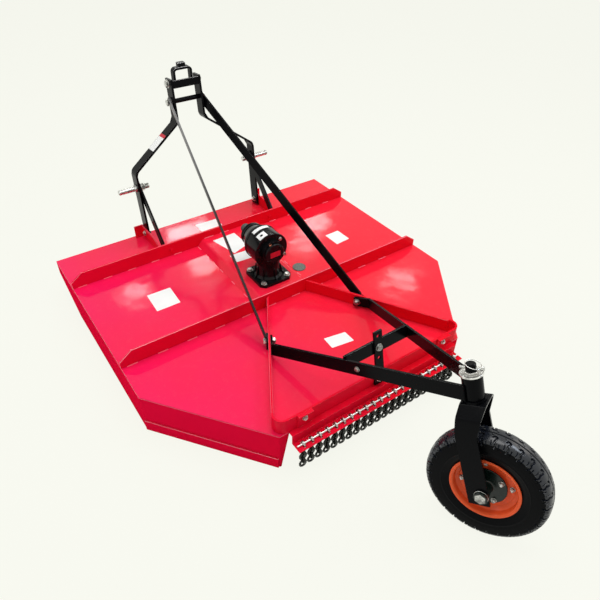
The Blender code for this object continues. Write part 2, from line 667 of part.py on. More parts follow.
# Three-point hitch

LEAN = Vector((0, sin(HITCH_LEAN), cos(HITCH_LEAN)))
LEG_ACROSS = Vector((0, cos(HITCH_LEAN), -sin(HITCH_LEAN)))
STRUT_BOLT_X = HITCH_HALF - STRUT_BOLT_INSET
STRUT_BOLT_Z = DECK_TOP + STRUT_BOLT_RISE
FOOT_BOLT_Z = DECK_TOP + FOOT_BOLT_RISE
EAR_BOLT_Z = DECK_TOP + EAR_BOLT_RISE


def on_hitch(x, z, forward=0.0):
    """A point in the A-frame's leaning plane at height z."""
    along = (z - LEG_FOOT) / LEAN.z
    return Vector((x, LEG_FOOT_Y, LEG_FOOT)) + LEAN * along + LEG_ACROSS * forward


def mast_arms(machine):
    """One bent flat bar each side, from the mast's top to its foot beside the bracket."""
    path = [on_hitch(HITCH_HALF, LEG_FOOT), on_hitch(HITCH_HALF, LEG_LOWER_BEND),
            on_hitch(MAST_HALF, LEG_UPPER_BEND), on_hitch(MAST_HALF, MAST_TOP)]
    for name, side in SIDES:
        bar = swept(path, LEG_ACROSS, LEG_WIDTH, LEG_THICKNESS)
        pin = on_hitch(HITCH_HALF, LOWER_PIN_HEIGHT)
        holes = [through(pin, LOWER_PIN_RADIUS),
                 through(on_hitch(HITCH_HALF, FOOT_BOLT_Z), FOOT_BOLT_RADIUS)]
        for height in (UPPER_BOLT_HEIGHT, LOWER_BOLT_HEIGHT):
            holes.append(through(on_hitch(MAST_HALF, height, MAST_BOLT_FORWARD), MAST_BOLT_RADIUS))
        piece(f"mast_arm_{name}", mirrored(carved(bar, *holes), side), "black_paint", machine)


def through(point, radius, reach=0.04):
    """A cutter along X for a bolt or pin of the given radius."""
    return rod(radius + PIN_PLAY, point - X_AXIS * reach, point + X_AXIS * reach, 16)


def lower_pins(machine):
    """Zinc lower-link pins: a shouldered stud with a nut on the inner side."""
    centre = on_hitch(0, LOWER_PIN_HEIGHT)
    inner_face = HITCH_HALF - LEG_THICKNESS / 2 - STRUT_THICKNESS - 2 * FIT
    outer_face = HITCH_HALF + LEG_THICKNESS / 2 + FIT
    for name, side in SIDES:
        profile = [(0, LOWER_PIN_INNER), (LOWER_PIN_RADIUS - 0.002, LOWER_PIN_INNER),
                   (LOWER_PIN_RADIUS, LOWER_PIN_INNER + 0.002), (LOWER_PIN_RADIUS, outer_face),
                   (0.017, outer_face), (0.017, outer_face + 0.010),
                   (LOWER_PIN_RADIUS, outer_face + 0.010), (LOWER_PIN_RADIUS, LOWER_PIN_OUTER - 0.003),
                   (LOWER_PIN_RADIUS - 0.003, LOWER_PIN_OUTER), (0, LOWER_PIN_OUTER)]
        stud = turned(profile, 14, frame_matrix(centre, X_AXIS, Y_AXIS))
        nut = hexagon(0.019, centre + X_AXIS * (inner_face - 0.018),
                      centre + X_AXIS * (inner_face - FIT))
        piece(f"lower_pin_{name}", mirrored(joined(stud, nut), side), "zinc", machine)


def mast_struts(machine):
    """Flat bars from the lower pins back to the front beam, each with a foot bolted to it."""
    x = HITCH_HALF - LEG_THICKNESS / 2 - STRUT_THICKNESS / 2 - FIT
    pin = on_hitch(x, LOWER_PIN_HEIGHT)
    foot_face = FRONT_BEAM_Y + FIT
    low = DECK_TOP + 0.006
    foot = Vector((x, foot_face + STRUT_THICKNESS, DECK_TOP + 0.036))
    along = (pin - foot).normalized()
    for name, side in SIDES:
        bar = swept([foot - along * 0.03, pin + along * 0.026], X_AXIS.cross(along), STRUT_WIDTH,
                    STRUT_THICKNESS)
        tab = box((STRUT_BOLT_X - 0.020, foot_face, low),
                  (x + STRUT_THICKNESS / 2, foot_face + STRUT_THICKNESS, DECK_TOP + 0.062))
        rear = box((0, foot_face - STRUT_WIDTH, 0), (HITCH_HALF * 2, foot_face, MAST_TOP))
        under = box((0, foot_face - STRUT_WIDTH, 0),
                    (HITCH_HALF * 2, foot_face + STRUT_WIDTH * 2, low))
        pin_hole = through(pin, LOWER_PIN_RADIUS)
        bolt_hole = rod(STRUT_BOLT_RADIUS + PIN_PLAY, (STRUT_BOLT_X, foot_face - 0.02, STRUT_BOLT_Z),
                        (STRUT_BOLT_X, foot_face + 0.04, STRUT_BOLT_Z), 16)
        shape = carved(joined(bar, tab), rear, under, pin_hole, bolt_hole)
        piece(f"mast_strut_{name}", mirrored(shape, side), "black_paint", machine)

        nut_face = foot_face + STRUT_THICKNESS + FIT
        head_face = FRONT_BEAM_Y - BEAM_THICKNESS - FIT
        shank = rod(STRUT_BOLT_RADIUS, (STRUT_BOLT_X, head_face - 0.006, STRUT_BOLT_Z),
                    (STRUT_BOLT_X, nut_face + 0.012, STRUT_BOLT_Z))
        head = hexagon(0.0105, (STRUT_BOLT_X, head_face - 0.007, STRUT_BOLT_Z),
                       (STRUT_BOLT_X, head_face, STRUT_BOLT_Z))
        nut = hexagon(0.0105, (STRUT_BOLT_X, nut_face, STRUT_BOLT_Z),
                      (STRUT_BOLT_X, nut_face + 0.009, STRUT_BOLT_Z))
        piece(f"strut_bolt_{name}", mirrored(joined(shank, head, nut), side), "zinc", machine)


def hitch_brackets(machine):
    """Red angle plates on the front strip, outside the A-frame's feet."""
    inner = HITCH_HALF + LEG_THICKNESS / 2 + FIT
    rear = FRONT_BEAM_Y + FIT
    top = DECK_TOP + BRACKET_HEIGHT
    for name, side in SIDES:
        plan = [(inner, rear), (inner + BRACKET_SHEET, rear), (inner + BRACKET_SHEET, BRACKET_FRONT
                - BRACKET_SHEET), (inner + BRACKET_FLANGE, BRACKET_FRONT - BRACKET_SHEET),
                (inner + BRACKET_FLANGE, BRACKET_FRONT), (inner, BRACKET_FRONT)]
        shape = prism(plan, BRACKET_HEIGHT - FIT, Matrix.Translation((0, 0, DECK_TOP + FIT)))
        hole = through(on_hitch(HITCH_HALF, FOOT_BOLT_Z), FOOT_BOLT_RADIUS)
        fall = BRACKET_HEIGHT * 0.42
        high = rear + (BRACKET_FRONT - rear) * 0.43
        above = top + BRACKET_HEIGHT
        slope = prism([(rear - 0.01, top - fall), (high, top), (high, above), (rear - 0.01, above)],
                      4 * BRACKET_FLANGE, frame_matrix((inner - 2 * BRACKET_FLANGE, 0, 0), X_AXIS, Y_AXIS))
        piece(f"hitch_bracket_{name}", mirrored(carved(shape, hole, slope), side), "red_paint", machine)
        outer = inner + BRACKET_SHEET + FIT
        bolt_line = on_hitch(0, FOOT_BOLT_Z)
        start = HITCH_HALF - LEG_THICKNESS / 2 - FIT
        shank = rod(FOOT_BOLT_RADIUS, bolt_line + X_AXIS * (start - 0.012),
                    bolt_line + X_AXIS * (outer + 0.012))
        head = hexagon(0.012, bolt_line + X_AXIS * outer, bolt_line + X_AXIS * (outer + 0.009))
        nut = hexagon(0.012, bolt_line + X_AXIS * (start - 0.010), bolt_line + X_AXIS * start)
        piece(f"foot_bolt_{name}", mirrored(joined(shank, head, nut), side), "zinc", machine)


def mast_cross_pieces(machine):
    """Band and lower bolt that tie the mast's plates, and the upper bolt that carries the yoke."""
    inner = MAST_HALF - LEG_THICKNESS / 2 - FIT
    centre = on_hitch(0, UPPER_BOLT_HEIGHT, -LEG_WIDTH / 2 + MAST_BAND_SHEET / 2)
    tilt = frame_matrix(centre, LEG_ACROSS, X_AXIS)
    band = prism([(-inner, -MAST_BAND_HEIGHT / 2), (inner, -MAST_BAND_HEIGHT / 2),
                  (inner, MAST_BAND_HEIGHT / 2), (-inner, MAST_BAND_HEIGHT / 2)], MAST_BAND_SHEET,
                 tilt @ Matrix.Translation((0, 0, -MAST_BAND_SHEET / 2)))
    piece("mast_band", band, "black_paint", machine)
    for name, height, grip in (("mast_upper_bolt", UPPER_BOLT_HEIGHT, 0),
                               ("mast_lower_bolt", LOWER_BOLT_HEIGHT, BRACE_THICKNESS + FIT)):
        at = on_hitch(0, height, MAST_BOLT_FORWARD)
        face = MAST_HALF + LEG_THICKNESS / 2 + grip + FIT
        shank = rod(MAST_BOLT_RADIUS, at - X_AXIS * (face + 0.016), at + X_AXIS * (face + 0.014), 16)
        head = hexagon(0.016, at - X_AXIS * (face + 0.011), at - X_AXIS * face)
        nut = hexagon(0.016, at + X_AXIS * face, at + X_AXIS * (face + 0.013))
        parts = [head, nut]
        if name == "mast_lower_bolt":
            parts.append(rod(0.014, at - X_AXIS * (inner), at + X_AXIS * (inner), 16))
        piece(name, joined(shank, *parts), "zinc" if grip == 0 else "black_paint", machine)


def top_link_yoke(machine):
    """Inverted U on the mast's upper bolt, with the block that takes the tractor's top link."""
    axis = empty("top_link_yoke_axis", machine,
                 Matrix.Translation(on_hitch(0, UPPER_BOLT_HEIGHT, MAST_BOLT_FORWARD)))
    mid = YOKE_HALF - YOKE_SHEET / 2
    crown = YOKE_RISE - YOKE_SHEET / 2
    corner = rounded_corner((mid, 0), (mid, crown), (0, crown), 0.014, 4)
    path = [(mid, 0, 0)] + [(x, 0, z) for x, z in corner]
    path += [(-x, 0, z) for x, z in corner[::-1]] + [(-mid, 0, 0)]
    strap = swept(path, Y_AXIS, YOKE_WIDTH, YOKE_SHEET)
    ends = [rod(YOKE_WIDTH / 2, (x, 0, 0), (x + YOKE_SHEET, 0, 0), 16)
            for x in (-YOKE_HALF, YOKE_HALF - YOKE_SHEET)]
    half = YOKE_BLOCK / 2
    block = box((-half, -half + 0.004, crown), (half, half - 0.004, YOKE_RISE + 0.018))
    bore = rod(MAST_BOLT_RADIUS + PIN_PLAY, (-0.1, 0, 0), (0.1, 0, 0), 20)
    piece("top_link_yoke", carved(joined(strap, block, *ends), bore), "black_paint", axis)


# Braces from the mast to the ribs

PLATE_LOW = DECK_TOP + UNDER_PLATE - FRAME_PIVOT_Z


def rib_plate(outline, offset, thickness):
    """Upright plate beside the right rib. Its outline is (back along the rib, up) from the bolt."""
    out, along = Vector((*RIB_OUT, 0)), Vector((*RIB_ALONG, 0))
    matrix = frame_matrix(bolt_point(offset), out, along)
    return prism([(back, -up) for back, up in outline[::-1]], thickness, matrix)


def brace_foot():
    inset = TAB_HALF - TAB_CORNER
    outline = [(-TAB_HALF, PLATE_LOW), (TAB_HALF, PLATE_LOW), (TAB_HALF, inset), (inset, TAB_HALF),
               (-inset, TAB_HALF), (-TAB_HALF, inset)]
    return rib_plate(outline, RIB_THICKNESS / 2 + FIT, BRACE_THICKNESS)


def brace_line():
    """Centre line of the right brace, from the mast's lower bolt to its foot plate."""
    top_x = MAST_HALF + LEG_THICKNESS / 2 + FIT + BRACE_THICKNESS / 2
    top = on_hitch(top_x, LOWER_BOLT_HEIGHT, MAST_BOLT_FORWARD)
    foot = Vector(bolt_point(RIB_THICKNESS / 2 + BRACE_THICKNESS + FIT))
    foot.z += 0.012
    return top, foot


def braces(machine):
    """Straight flat bars, turned to lie against the ribs, each with a round tab on the mast."""
    top, foot = brace_line()
    run = (foot - top).normalized()
    across = run.cross(Vector((RIB_OUT.x, RIB_OUT.y, 0))).normalized()
    for name, side in SIDES:
        bar = swept([top - run * BRACE_WIDTH / 4, foot], across, BRACE_WIDTH, BRACE_THICKNESS)
        half = X_AXIS * BRACE_THICKNESS / 2
        tab = rod(BRACE_WIDTH / 2, top - half, top + half, 24)
        reach = 2 * BRACE_WIDTH
        mast_side = box(top - half - Vector((reach, reach, reach)),
                        top - half + Vector((0, reach, reach)))
        rib_side = rib_half_space(RIB_THICKNESS / 2 + FIT)
        below = box((0, FRAME_PIVOT_Y - reach, 0),
                    (HALF, FRAME_PIVOT_Y + reach, DECK_TOP + UNDER_PLATE))
        outer = RIB_THICKNESS / 2 + BRACE_THICKNESS + FIT
        holes = [through(top, MAST_BOLT_RADIUS),
                 rod(PIVOT_BOLT_RADIUS + PIN_PLAY, bolt_point(-0.05), bolt_point(0.06)),
                 rod(PIVOT_SPOT, bolt_point(outer), bolt_point(0.06), 16),
                 rod(MAST_SPOT, top + half, top + half + X_AXIS * 0.03, 20)]
        shape = carved(joined(bar, tab, brace_foot()), mast_side, rib_side, below, *holes)
        piece(f"brace_{name}", mirrored(shape, side), "black_paint", machine)


def rib_half_space(offset, outer=True):
    """A cutter that clears everything on the inner side of a plane beside the right rib."""
    sign = 1 if outer else -1
    out = Vector((RIB_OUT.x, RIB_OUT.y, 0)) * sign
    face = Vector(bolt_point(0)) + out * offset
    matrix = frame_matrix(face, -out, Vector((RIB_ALONG.x, RIB_ALONG.y, 0)))
    far = 5 * BRACE_WIDTH
    return prism([(-far, -far), (far, -far), (far, far), (-far, far)], far, matrix)


def pivot_bolts(machine):
    """Bolts through each brace's foot, rib and wheel arm."""
    outer = RIB_THICKNESS / 2 + BRACE_THICKNESS + 2 * FIT
    inner = -(RIB_THICKNESS / 2 + ARM_THICKNESS + 2 * FIT)
    for name, side in SIDES:
        shank = rod(PIVOT_BOLT_RADIUS, bolt_point(inner - 0.014), bolt_point(outer + 0.014), 16)
        head = hexagon(0.0135, bolt_point(outer), bolt_point(outer + 0.010))
        nut = hexagon(0.0135, bolt_point(inner - 0.011), bolt_point(inner))
        piece(f"pivot_bolt_{name}", mirrored(joined(shank, head, nut), side), "zinc", machine)


# Tail wheel frame, in its own inclined coordinates: y runs forwards along the slope

SLOPE = (Matrix.Translation((0, FRAME_PIVOT_Y, FRAME_PIVOT_Z))
         @ Matrix.Rotation(-FRAME_SLOPE, 4, "X"))
TO_FRAME = SLOPE.inverted()


def tail_frame(machine):
    frame = empty("tail_frame", machine, SLOPE)
    wheel_arms(frame)
    crossbar(frame)
    height_strap(frame)
    bore = SPINDLE_RADIUS + PIN_PLAY
    barrel = [(bore, -BARREL_TUBE_DROP), (BARREL_TUBE_RADIUS, -BARREL_TUBE_DROP),
              (BARREL_TUBE_RADIUS, BARREL_TUBE_RISE), (bore, BARREL_TUBE_RISE)]
    tube = turned(barrel, 28, Matrix.Translation((0, -FRAME_REACH, -ARM_DROP)))
    piece("swivel_barrel", tube, "black_paint", frame)
    return frame


def arm_line():
    """Right arm's centre line: where it leaves its rib, and its end at the barrel."""
    inward = RIB_THICKNESS / 2 + FIT + ARM_THICKNESS / 2
    at = PIVOT_AT + RIB_ALONG * ARM_BEND - RIB_OUT * inward
    bend = TO_FRAME @ Vector((*at, FRAME_PIVOT_Z + ARM_BEND_LIFT))
    end = Vector((BARREL_TUBE_RADIUS, -FRAME_REACH + ARM_THICKNESS / 2, -ARM_DROP))
    return bend, end


def wheel_arms(frame):
    """Converging flat bars, bent at the front to lie on the ribs and coped to the barrel."""
    bend, end = arm_line()
    along = (end - bend).normalized()
    half = ARM_WIDTH / 2
    lean, rise = half * sin(FRAME_SLOPE), half * cos(FRAME_SLOPE)
    outline = [(-ARM_TAB_FRONT, PLATE_LOW), (ARM_BEND + lean, ARM_BEND_LIFT - rise),
               (ARM_BEND - lean, ARM_BEND_LIFT + rise), (-ARM_TAB_FRONT, ARM_TAB_TOP)]
    inner = -(RIB_THICKNESS / 2 + ARM_THICKNESS + FIT)
    for name, side in SIDES:
        bar = swept([bend - along * ARM_THICKNESS / 2, end], Z_AXIS, ARM_WIDTH, ARM_THICKNESS)
        tab = placed(rib_plate(outline, inner, ARM_THICKNESS), TO_FRAME)
        rib_side = placed(rib_half_space(RIB_THICKNESS / 2 + FIT, outer=False), TO_FRAME)
        under = placed(box((0, FRAME_PIVOT_Y - 5 * ARM_WIDTH, 0),
                           (HALF, FRAME_PIVOT_Y + 3 * ARM_WIDTH, DECK_TOP + UNDER_PLATE)), TO_FRAME)
        cope = rod(BARREL_TUBE_RADIUS + FIT, (0, -FRAME_REACH, -0.1), (0, -FRAME_REACH, 0.1), 32)
        hole = placed(rod(PIVOT_BOLT_RADIUS + PIN_PLAY, bolt_point(-0.05), bolt_point(0.06)), TO_FRAME)
        spot = placed(rod(PIVOT_SPOT, bolt_point(-0.05), bolt_point(inner), 16), TO_FRAME)
        shape = carved(joined(bar, tab), rib_side, under, cope, hole, spot)
        piece(f"wheel_arm_{name}", mirrored(shape, side), "black_paint", frame)


def beyond_arm():
    """A cutter that clears everything beyond the right arm's inner face."""
    bend, end = arm_line()
    out = Z_AXIS.cross(end - bend).normalized()
    far = FRAME_REACH
    matrix = frame_matrix(bend - out * (ARM_THICKNESS / 2 + FIT), out, end - bend)
    return prism([(-far, -far), (far, -far), (far, far), (-far, far)], far, matrix)


STRAP_Y = FLANGE_Y - RIB_THICKNESS / 2 - FIT - STRAP_SHEET / 2
STRAP_BEND = DECK_TOP + FLANGE_HEIGHT + 0.002
STRAP_ALONG = Vector((0, sin(STRAP_LEAN), cos(STRAP_LEAN)))
STRAP_FORWARD = Vector((0, cos(STRAP_LEAN), -sin(STRAP_LEAN)))


def on_strap(height, forward=0.0):
    """A point in the strap's leaning part at a height over the floor, or square ahead of it."""
    centre = Vector((0, STRAP_Y, STRAP_BEND)) + STRAP_ALONG * (height - STRAP_BEND) / STRAP_ALONG.z
    return centre + STRAP_FORWARD * forward


def strap_hole(centre, forward):
    """A cutter through strap and bar, or strap and flange."""
    reach = forward * 4 * STRAP_SHEET
    return placed(rod(STRAP_HOLE_RADIUS, centre - reach, centre + reach, 16), TO_FRAME)


def crossbar(frame):
    """Bar between the arms, on the strap's front face."""
    half = arm_line()[0].x
    rear = on_strap(CROSSBAR_CENTRE, STRAP_SHEET / 2 + FIT)
    high = CROSSBAR_HEIGHT / 2
    bar = prism([(-half, -high), (half, -high), (half, high), (-half, high)], ARM_THICKNESS,
                frame_matrix(rear, STRAP_FORWARD, X_AXIS))
    shape = carved(placed(bar, TO_FRAME), beyond_arm(), mirrored(beyond_arm(), -1),
                   strap_hole(on_strap(CROSSBAR_CENTRE), STRAP_FORWARD))
    piece("frame_crossbar", shape, "black_paint", frame)


def height_strap(frame):
    """Holed strap, upright behind the rear flange and then leaning forwards to the crossbar."""
    foot, bend = Vector((0, STRAP_Y, STRAP_FOOT)), Vector((0, STRAP_Y, STRAP_BEND))
    strap = swept([foot, bend, on_strap(STRAP_HEAD)], X_AXIS, STRAP_WIDTH, STRAP_SHEET)
    lower = Vector((0, STRAP_Y, STRAP_FOOT_BOLT))
    holes = [strap_hole(on_strap(CROSSBAR_CENTRE) + STRAP_ALONG * step * STRAP_HOLE_PITCH, STRAP_FORWARD)
             for step in (-1, 0, 1)]
    piece("height_strap", carved(placed(strap, TO_FRAME), *holes, strap_hole(lower, Y_AXIS)),
          "black_paint", frame)

    seat = STRAP_SHEET / 2 + FIT
    strap_bolt("strap_bolt", frame, on_strap(CROSSBAR_CENTRE, -seat),
               on_strap(CROSSBAR_CENTRE, seat + ARM_THICKNESS + FIT))
    strap_bolt("strap_foot_bolt", frame, lower - Y_AXIS * seat,
               lower + Y_AXIS * (seat + RIB_THICKNESS + FIT))


def strap_bolt(name, frame, rear, front):
    """A bolt whose head seats at rear and whose nut seats at front."""
    rear, front = TO_FRAME @ rear, TO_FRAME @ front
    along = (front - rear).normalized()
    shank = rod(STRAP_HOLE_RADIUS - PIN_PLAY, rear - along * 0.006, front + along * 0.014, 12)
    head = hexagon(0.012, rear - along * 0.009, rear)
    nut = hexagon(0.012, front, front + along * 0.010)
    piece(name, joined(shank, head, nut), "zinc", frame)


# Caster and wheel

BEAD_HALF = RIM_HALF - RIM_SHEET - FIT
TYRE_PROFILE = [(TYRE_RADIUS, 0.012), (TYRE_RADIUS - 0.004, 0.029), (TYRE_RADIUS - 0.014, 0.039),
                (TYRE_RADIUS - TYRE_WALL, TYRE_HALF), ((RIM_RADIUS + TYRE_RADIUS) / 2 - 0.021, 0.041),
                (RIM_RADIUS + 0.004, BEAD_HALF)]


def caster_matrix(frame):
    """Swivel axis, turned to the steering angle, down the barrel."""
    return Matrix.Translation((0, -FRAME_REACH, -ARM_DROP)) @ Matrix.Rotation(STEER, 4, "Z")


def axle_drop():
    """How far the axle hangs down the swivel axis for the tyre to stand on the floor."""
    slope = Matrix.Rotation(-FRAME_SLOPE, 3, "X")
    turn = slope @ Matrix.Rotation(STEER, 3, "Z")
    axle = turn @ X_AXIS
    lean = sqrt(1 - axle.z * axle.z)
    lowest = max(radius * lean + half * abs(axle.z) for radius, half in TYRE_PROFILE)
    barrel_z = FRAME_PIVOT_Z + FRAME_REACH * sin(FRAME_SLOPE) - ARM_DROP * cos(FRAME_SLOPE)
    trail_z = (turn @ Vector((0, -TRAIL, 0))).z
    return (barrel_z + trail_z - lowest) / (turn @ Z_AXIS).z


def fork_body(crown, under, over, drop):
    """Sloping-shouldered fork, wide at its crown and narrower down its legs, with its spindle."""
    mid = FORK_HALF - FORK_SHEET / 2
    level = crown - FORK_SHEET / 2
    foot, shoulder = (mid, -drop - FORK_END), (mid, -FORK_SHOULDER)
    peak = (FORK_CROWN_HALF, level)
    side = [foot] + rounded_corner(foot, shoulder, peak, FORK_BEND, 4)
    side += rounded_corner(shoulder, peak, (0, level), FORK_SHEET * 1.5, 2)
    path = [(x, 0, z) for x, z in side]
    path += [(-x, y, z) for x, y, z in path[::-1]]
    bar = swept(path, Y_AXIS, FORK_FRONT + FORK_REAR, FORK_SHEET)
    bmesh.ops.translate(bar, vec=(0, (FORK_FRONT - FORK_REAR) / 2, 0), verts=bar.verts)
    far, low = 2 * FORK_REAR, -2 * drop
    heel = low / 2 - FORK_END
    ahead = [(FORK_FRONT + 0.001, 0.001 - FORK_CORNER), (FORK_FRONT - 0.016, heel),
             (FORK_FRONT - 0.016, low), (far, low), (far, 0.001 - FORK_CORNER)]
    corner = [(FORK_NECK - 0.008, 0), (FORK_NECK, under - 0.020), (FORK_FRONT, -FORK_CORNER),
              (far, -FORK_CORNER), (far, 0)]
    behind = [(-FORK_REAR, under + 0.002), (-FORK_WAIST, -FORK_CORNER - 0.007), (-FORK_FOOT, heel),
              (-FORK_FOOT, low), (-far, low), (-far, under + 0.002)]
    lying = frame_matrix((-2 * FORK_HALF, 0, 0), X_AXIS, Y_AXIS)
    cutters = [prism(outline, 4 * FORK_HALF, lying) for outline in (ahead, corner, behind)]
    washer = turned([(0, crown - 0.004), (THRUST_RADIUS, crown - 0.004), (THRUST_RADIUS, under - FIT),
                     (0, under - FIT)], 20)
    axle_hole = rod(AXLE_RADIUS + PIN_PLAY, (-far, -TRAIL, -drop), (far, -TRAIL, -drop), 20)
    tip = over + SPINDLE_STUB
    spindle = turned([(0, crown), (SPINDLE_RADIUS, crown), (SPINDLE_RADIUS, tip - 0.003),
                      (SPINDLE_RADIUS - 0.003, tip), (0, tip)], 20)
    pin_hole = rod(0.0045, (0, -0.05, over + LINCH_PIN_RISE), (0, 0.05, over + LINCH_PIN_RISE), 10)
    return carved(joined(carved(bar, *cutters), washer, spindle), axle_hole, pin_hole)


def caster(frame):
    swivel = empty("caster_axis", frame, caster_matrix(frame))
    drop = axle_drop()
    under, over = -BARREL_TUBE_DROP, BARREL_TUBE_RISE
    crown = under - THRUST_WASHER - FIT
    piece("fork", fork_body(crown, under, over, drop), "black_paint", swivel)

    top = over + FIT
    bore = SPINDLE_RADIUS + PIN_PLAY
    collar = turned([(bore, top), (TOP_WASHER_RADIUS, top), (TOP_WASHER_RADIUS, top + TOP_WASHER),
                     (bore, top + TOP_WASHER)], 20)
    piece("spindle_washer", collar, "zinc", swivel)
    linch = rod(0.0040, (0, -0.030, over + LINCH_PIN_RISE), (0, 0.034, over + LINCH_PIN_RISE), 10)
    piece("linch_pin", linch, "zinc", swivel)

    centre = Vector((0, -TRAIL, -drop))
    face = FORK_HALF + FIT
    shank = rod(AXLE_RADIUS, centre - X_AXIS * (face + 0.012), centre + X_AXIS * (face + 0.018), 20)
    head = hexagon(0.017, centre - X_AXIS * (face + 0.012), centre - X_AXIS * face)
    nut = hexagon(0.017, centre + X_AXIS * face, centre + X_AXIS * (face + 0.014))
    piece("axle", joined(shank, head, nut), "zinc", swivel)
    wheel(swivel, centre)


def wheel(swivel, centre):
    hub_axis = empty("wheel_axis", swivel, frame_matrix(centre, X_AXIS, Y_AXIS))
    outer = [(radius, half) for radius, half in TYRE_PROFILE[::-1]]
    outer += [(radius, -half) for radius, half in TYRE_PROFILE]
    inside = [(BEAD_RADIUS, -BEAD_HALF), (BEAD_RADIUS, BEAD_HALF)]
    piece("tyre", turned(outer + inside, WHEEL_SEGMENTS), "tyre", hub_axis)

    seat = BEAD_RADIUS - FIT
    inner = seat - RIM_SHEET
    lip = RIM_HALF - RIM_SHEET
    rim_outer = [(RIM_RADIUS, RIM_HALF), (RIM_RADIUS, lip), (seat, lip), (seat, 0.016),
                 (seat - 0.012, 0.010), (seat - 0.012, -0.010), (seat, -0.016), (seat, -lip),
                 (RIM_RADIUS, -lip), (RIM_RADIUS, -RIM_HALF)]
    well = inner - 0.012
    rim_inner = [(inner, -RIM_HALF), (inner, -0.0175), (well, -0.0115), (well, -0.0085),
                 (RIM_DISH, -0.0085), (RIM_FACE, -0.016), (WHEEL_HUB_RADIUS + FIT, -0.016),
                 (WHEEL_HUB_RADIUS + FIT, -0.012), (RIM_FACE + 0.002, -0.012),
                 (RIM_DISH + 0.002, -0.0045), (well, -0.0045), (well, 0.0115), (inner, 0.0175),
                 (inner, RIM_HALF)]
    piece("rim", turned(rim_outer + rim_inner, WHEEL_SEGMENTS), "orange_paint", hub_axis)

    bore = AXLE_RADIUS + PIN_PLAY
    hub = turned([(bore, -WHEEL_HUB_HALF), (WHEEL_HUB_RADIUS, -WHEEL_HUB_HALF),
                  (WHEEL_HUB_RADIUS, -0.012 + FIT),
                  (0.046, -0.012 + FIT), (0.046, -0.006), (WHEEL_HUB_RADIUS, -0.002),
                  (WHEEL_HUB_RADIUS, WHEEL_HUB_HALF), (bore, WHEEL_HUB_HALF)], WHEEL_SEGMENTS)
    piece("wheel_hub", hub, "green_black", hub_axis)


# Chain guard

GUARD_FRONT = -DECK_LENGTH - FIT
GUARD_WEB_Y = GUARD_FRONT - GUARD_TOP_DEPTH
SHELF_TOP = DECK_TOP - GUARD_WEB
SHELF_REAR = GUARD_WEB_Y - GUARD_SHELF
ROD_Y = GUARD_WEB_Y - GUARD_SHELF / 2
ROD_Z = SHELF_TOP + FIT + ROD_RADIUS


def chain_positions():
    first = -CHAIN_PITCH * (CHAIN_COUNT - 1) / 2
    return [first + CHAIN_PITCH * k for k in range(CHAIN_COUNT)]


def chain_rail(machine):
    """Z-shaped rail bolted to the rear flange, its lower shelf slotted for every chain."""
    t = GUARD_SHEET
    section = [(GUARD_FRONT, DECK_TOP), (GUARD_FRONT, DECK_TOP - t), (GUARD_WEB_Y + t, DECK_TOP - t),
               (GUARD_WEB_Y + t, SHELF_TOP - t), (SHELF_REAR, SHELF_TOP - t), (SHELF_REAR, SHELF_TOP),
               (GUARD_WEB_Y, SHELF_TOP), (GUARD_WEB_Y, DECK_TOP)]
    rail = prism(section[::-1], 2 * GUARD_HALF, frame_matrix((-GUARD_HALF, 0, 0), X_AXIS, Y_AXIS))
    ears = []
    for x in (-EAR_X, EAR_X):
        ears.append(box((x - EAR_HALF, GUARD_FRONT - t, DECK_TOP - t),
                        (x + EAR_HALF, GUARD_FRONT, DECK_TOP + EAR_HEIGHT)))
        ears.append(box((x - EAR_HALF, GUARD_FRONT - t - EAR_LIP, DECK_TOP + EAR_HEIGHT - t),
                        (x + EAR_HALF, GUARD_FRONT - t / 2, DECK_TOP + EAR_HEIGHT)))
    body = joined(rail, *ears)
    slot_x = LINK_WIRE + 0.0012
    slot_y = LINK_WIDTH / 2 + 0.0015
    slots = [box((x - slot_x, ROD_Y - slot_y, SHELF_TOP - 0.02),
                 (x + slot_x, ROD_Y + slot_y, SHELF_TOP + 0.02)) for x in chain_positions()]
    holes = [rod(EAR_BOLT_RADIUS + PIN_PLAY, (x, GUARD_FRONT - 0.03, EAR_BOLT_Z),
                 (x, GUARD_FRONT + 0.03, EAR_BOLT_Z)) for x in (-EAR_X, EAR_X)]
    piece("chain_rail", carved(body, *slots, *holes), "red_paint", machine)
    for name, side in SIDES:
        rear = GUARD_FRONT - t - FIT
        front = FLANGE_Y + RIB_THICKNESS / 2 + FIT
        x = side * EAR_X
        shank = rod(EAR_BOLT_RADIUS, (x, rear - 0.006, EAR_BOLT_Z), (x, front + 0.012, EAR_BOLT_Z))
        head = hexagon(0.009, (x, rear - 0.006, EAR_BOLT_Z), (x, rear, EAR_BOLT_Z))
        nut = hexagon(0.009, (x, front, EAR_BOLT_Z), (x, front + 0.008, EAR_BOLT_Z))
        piece(f"rail_bolt_{name}", joined(shank, head, nut), "zinc", machine)


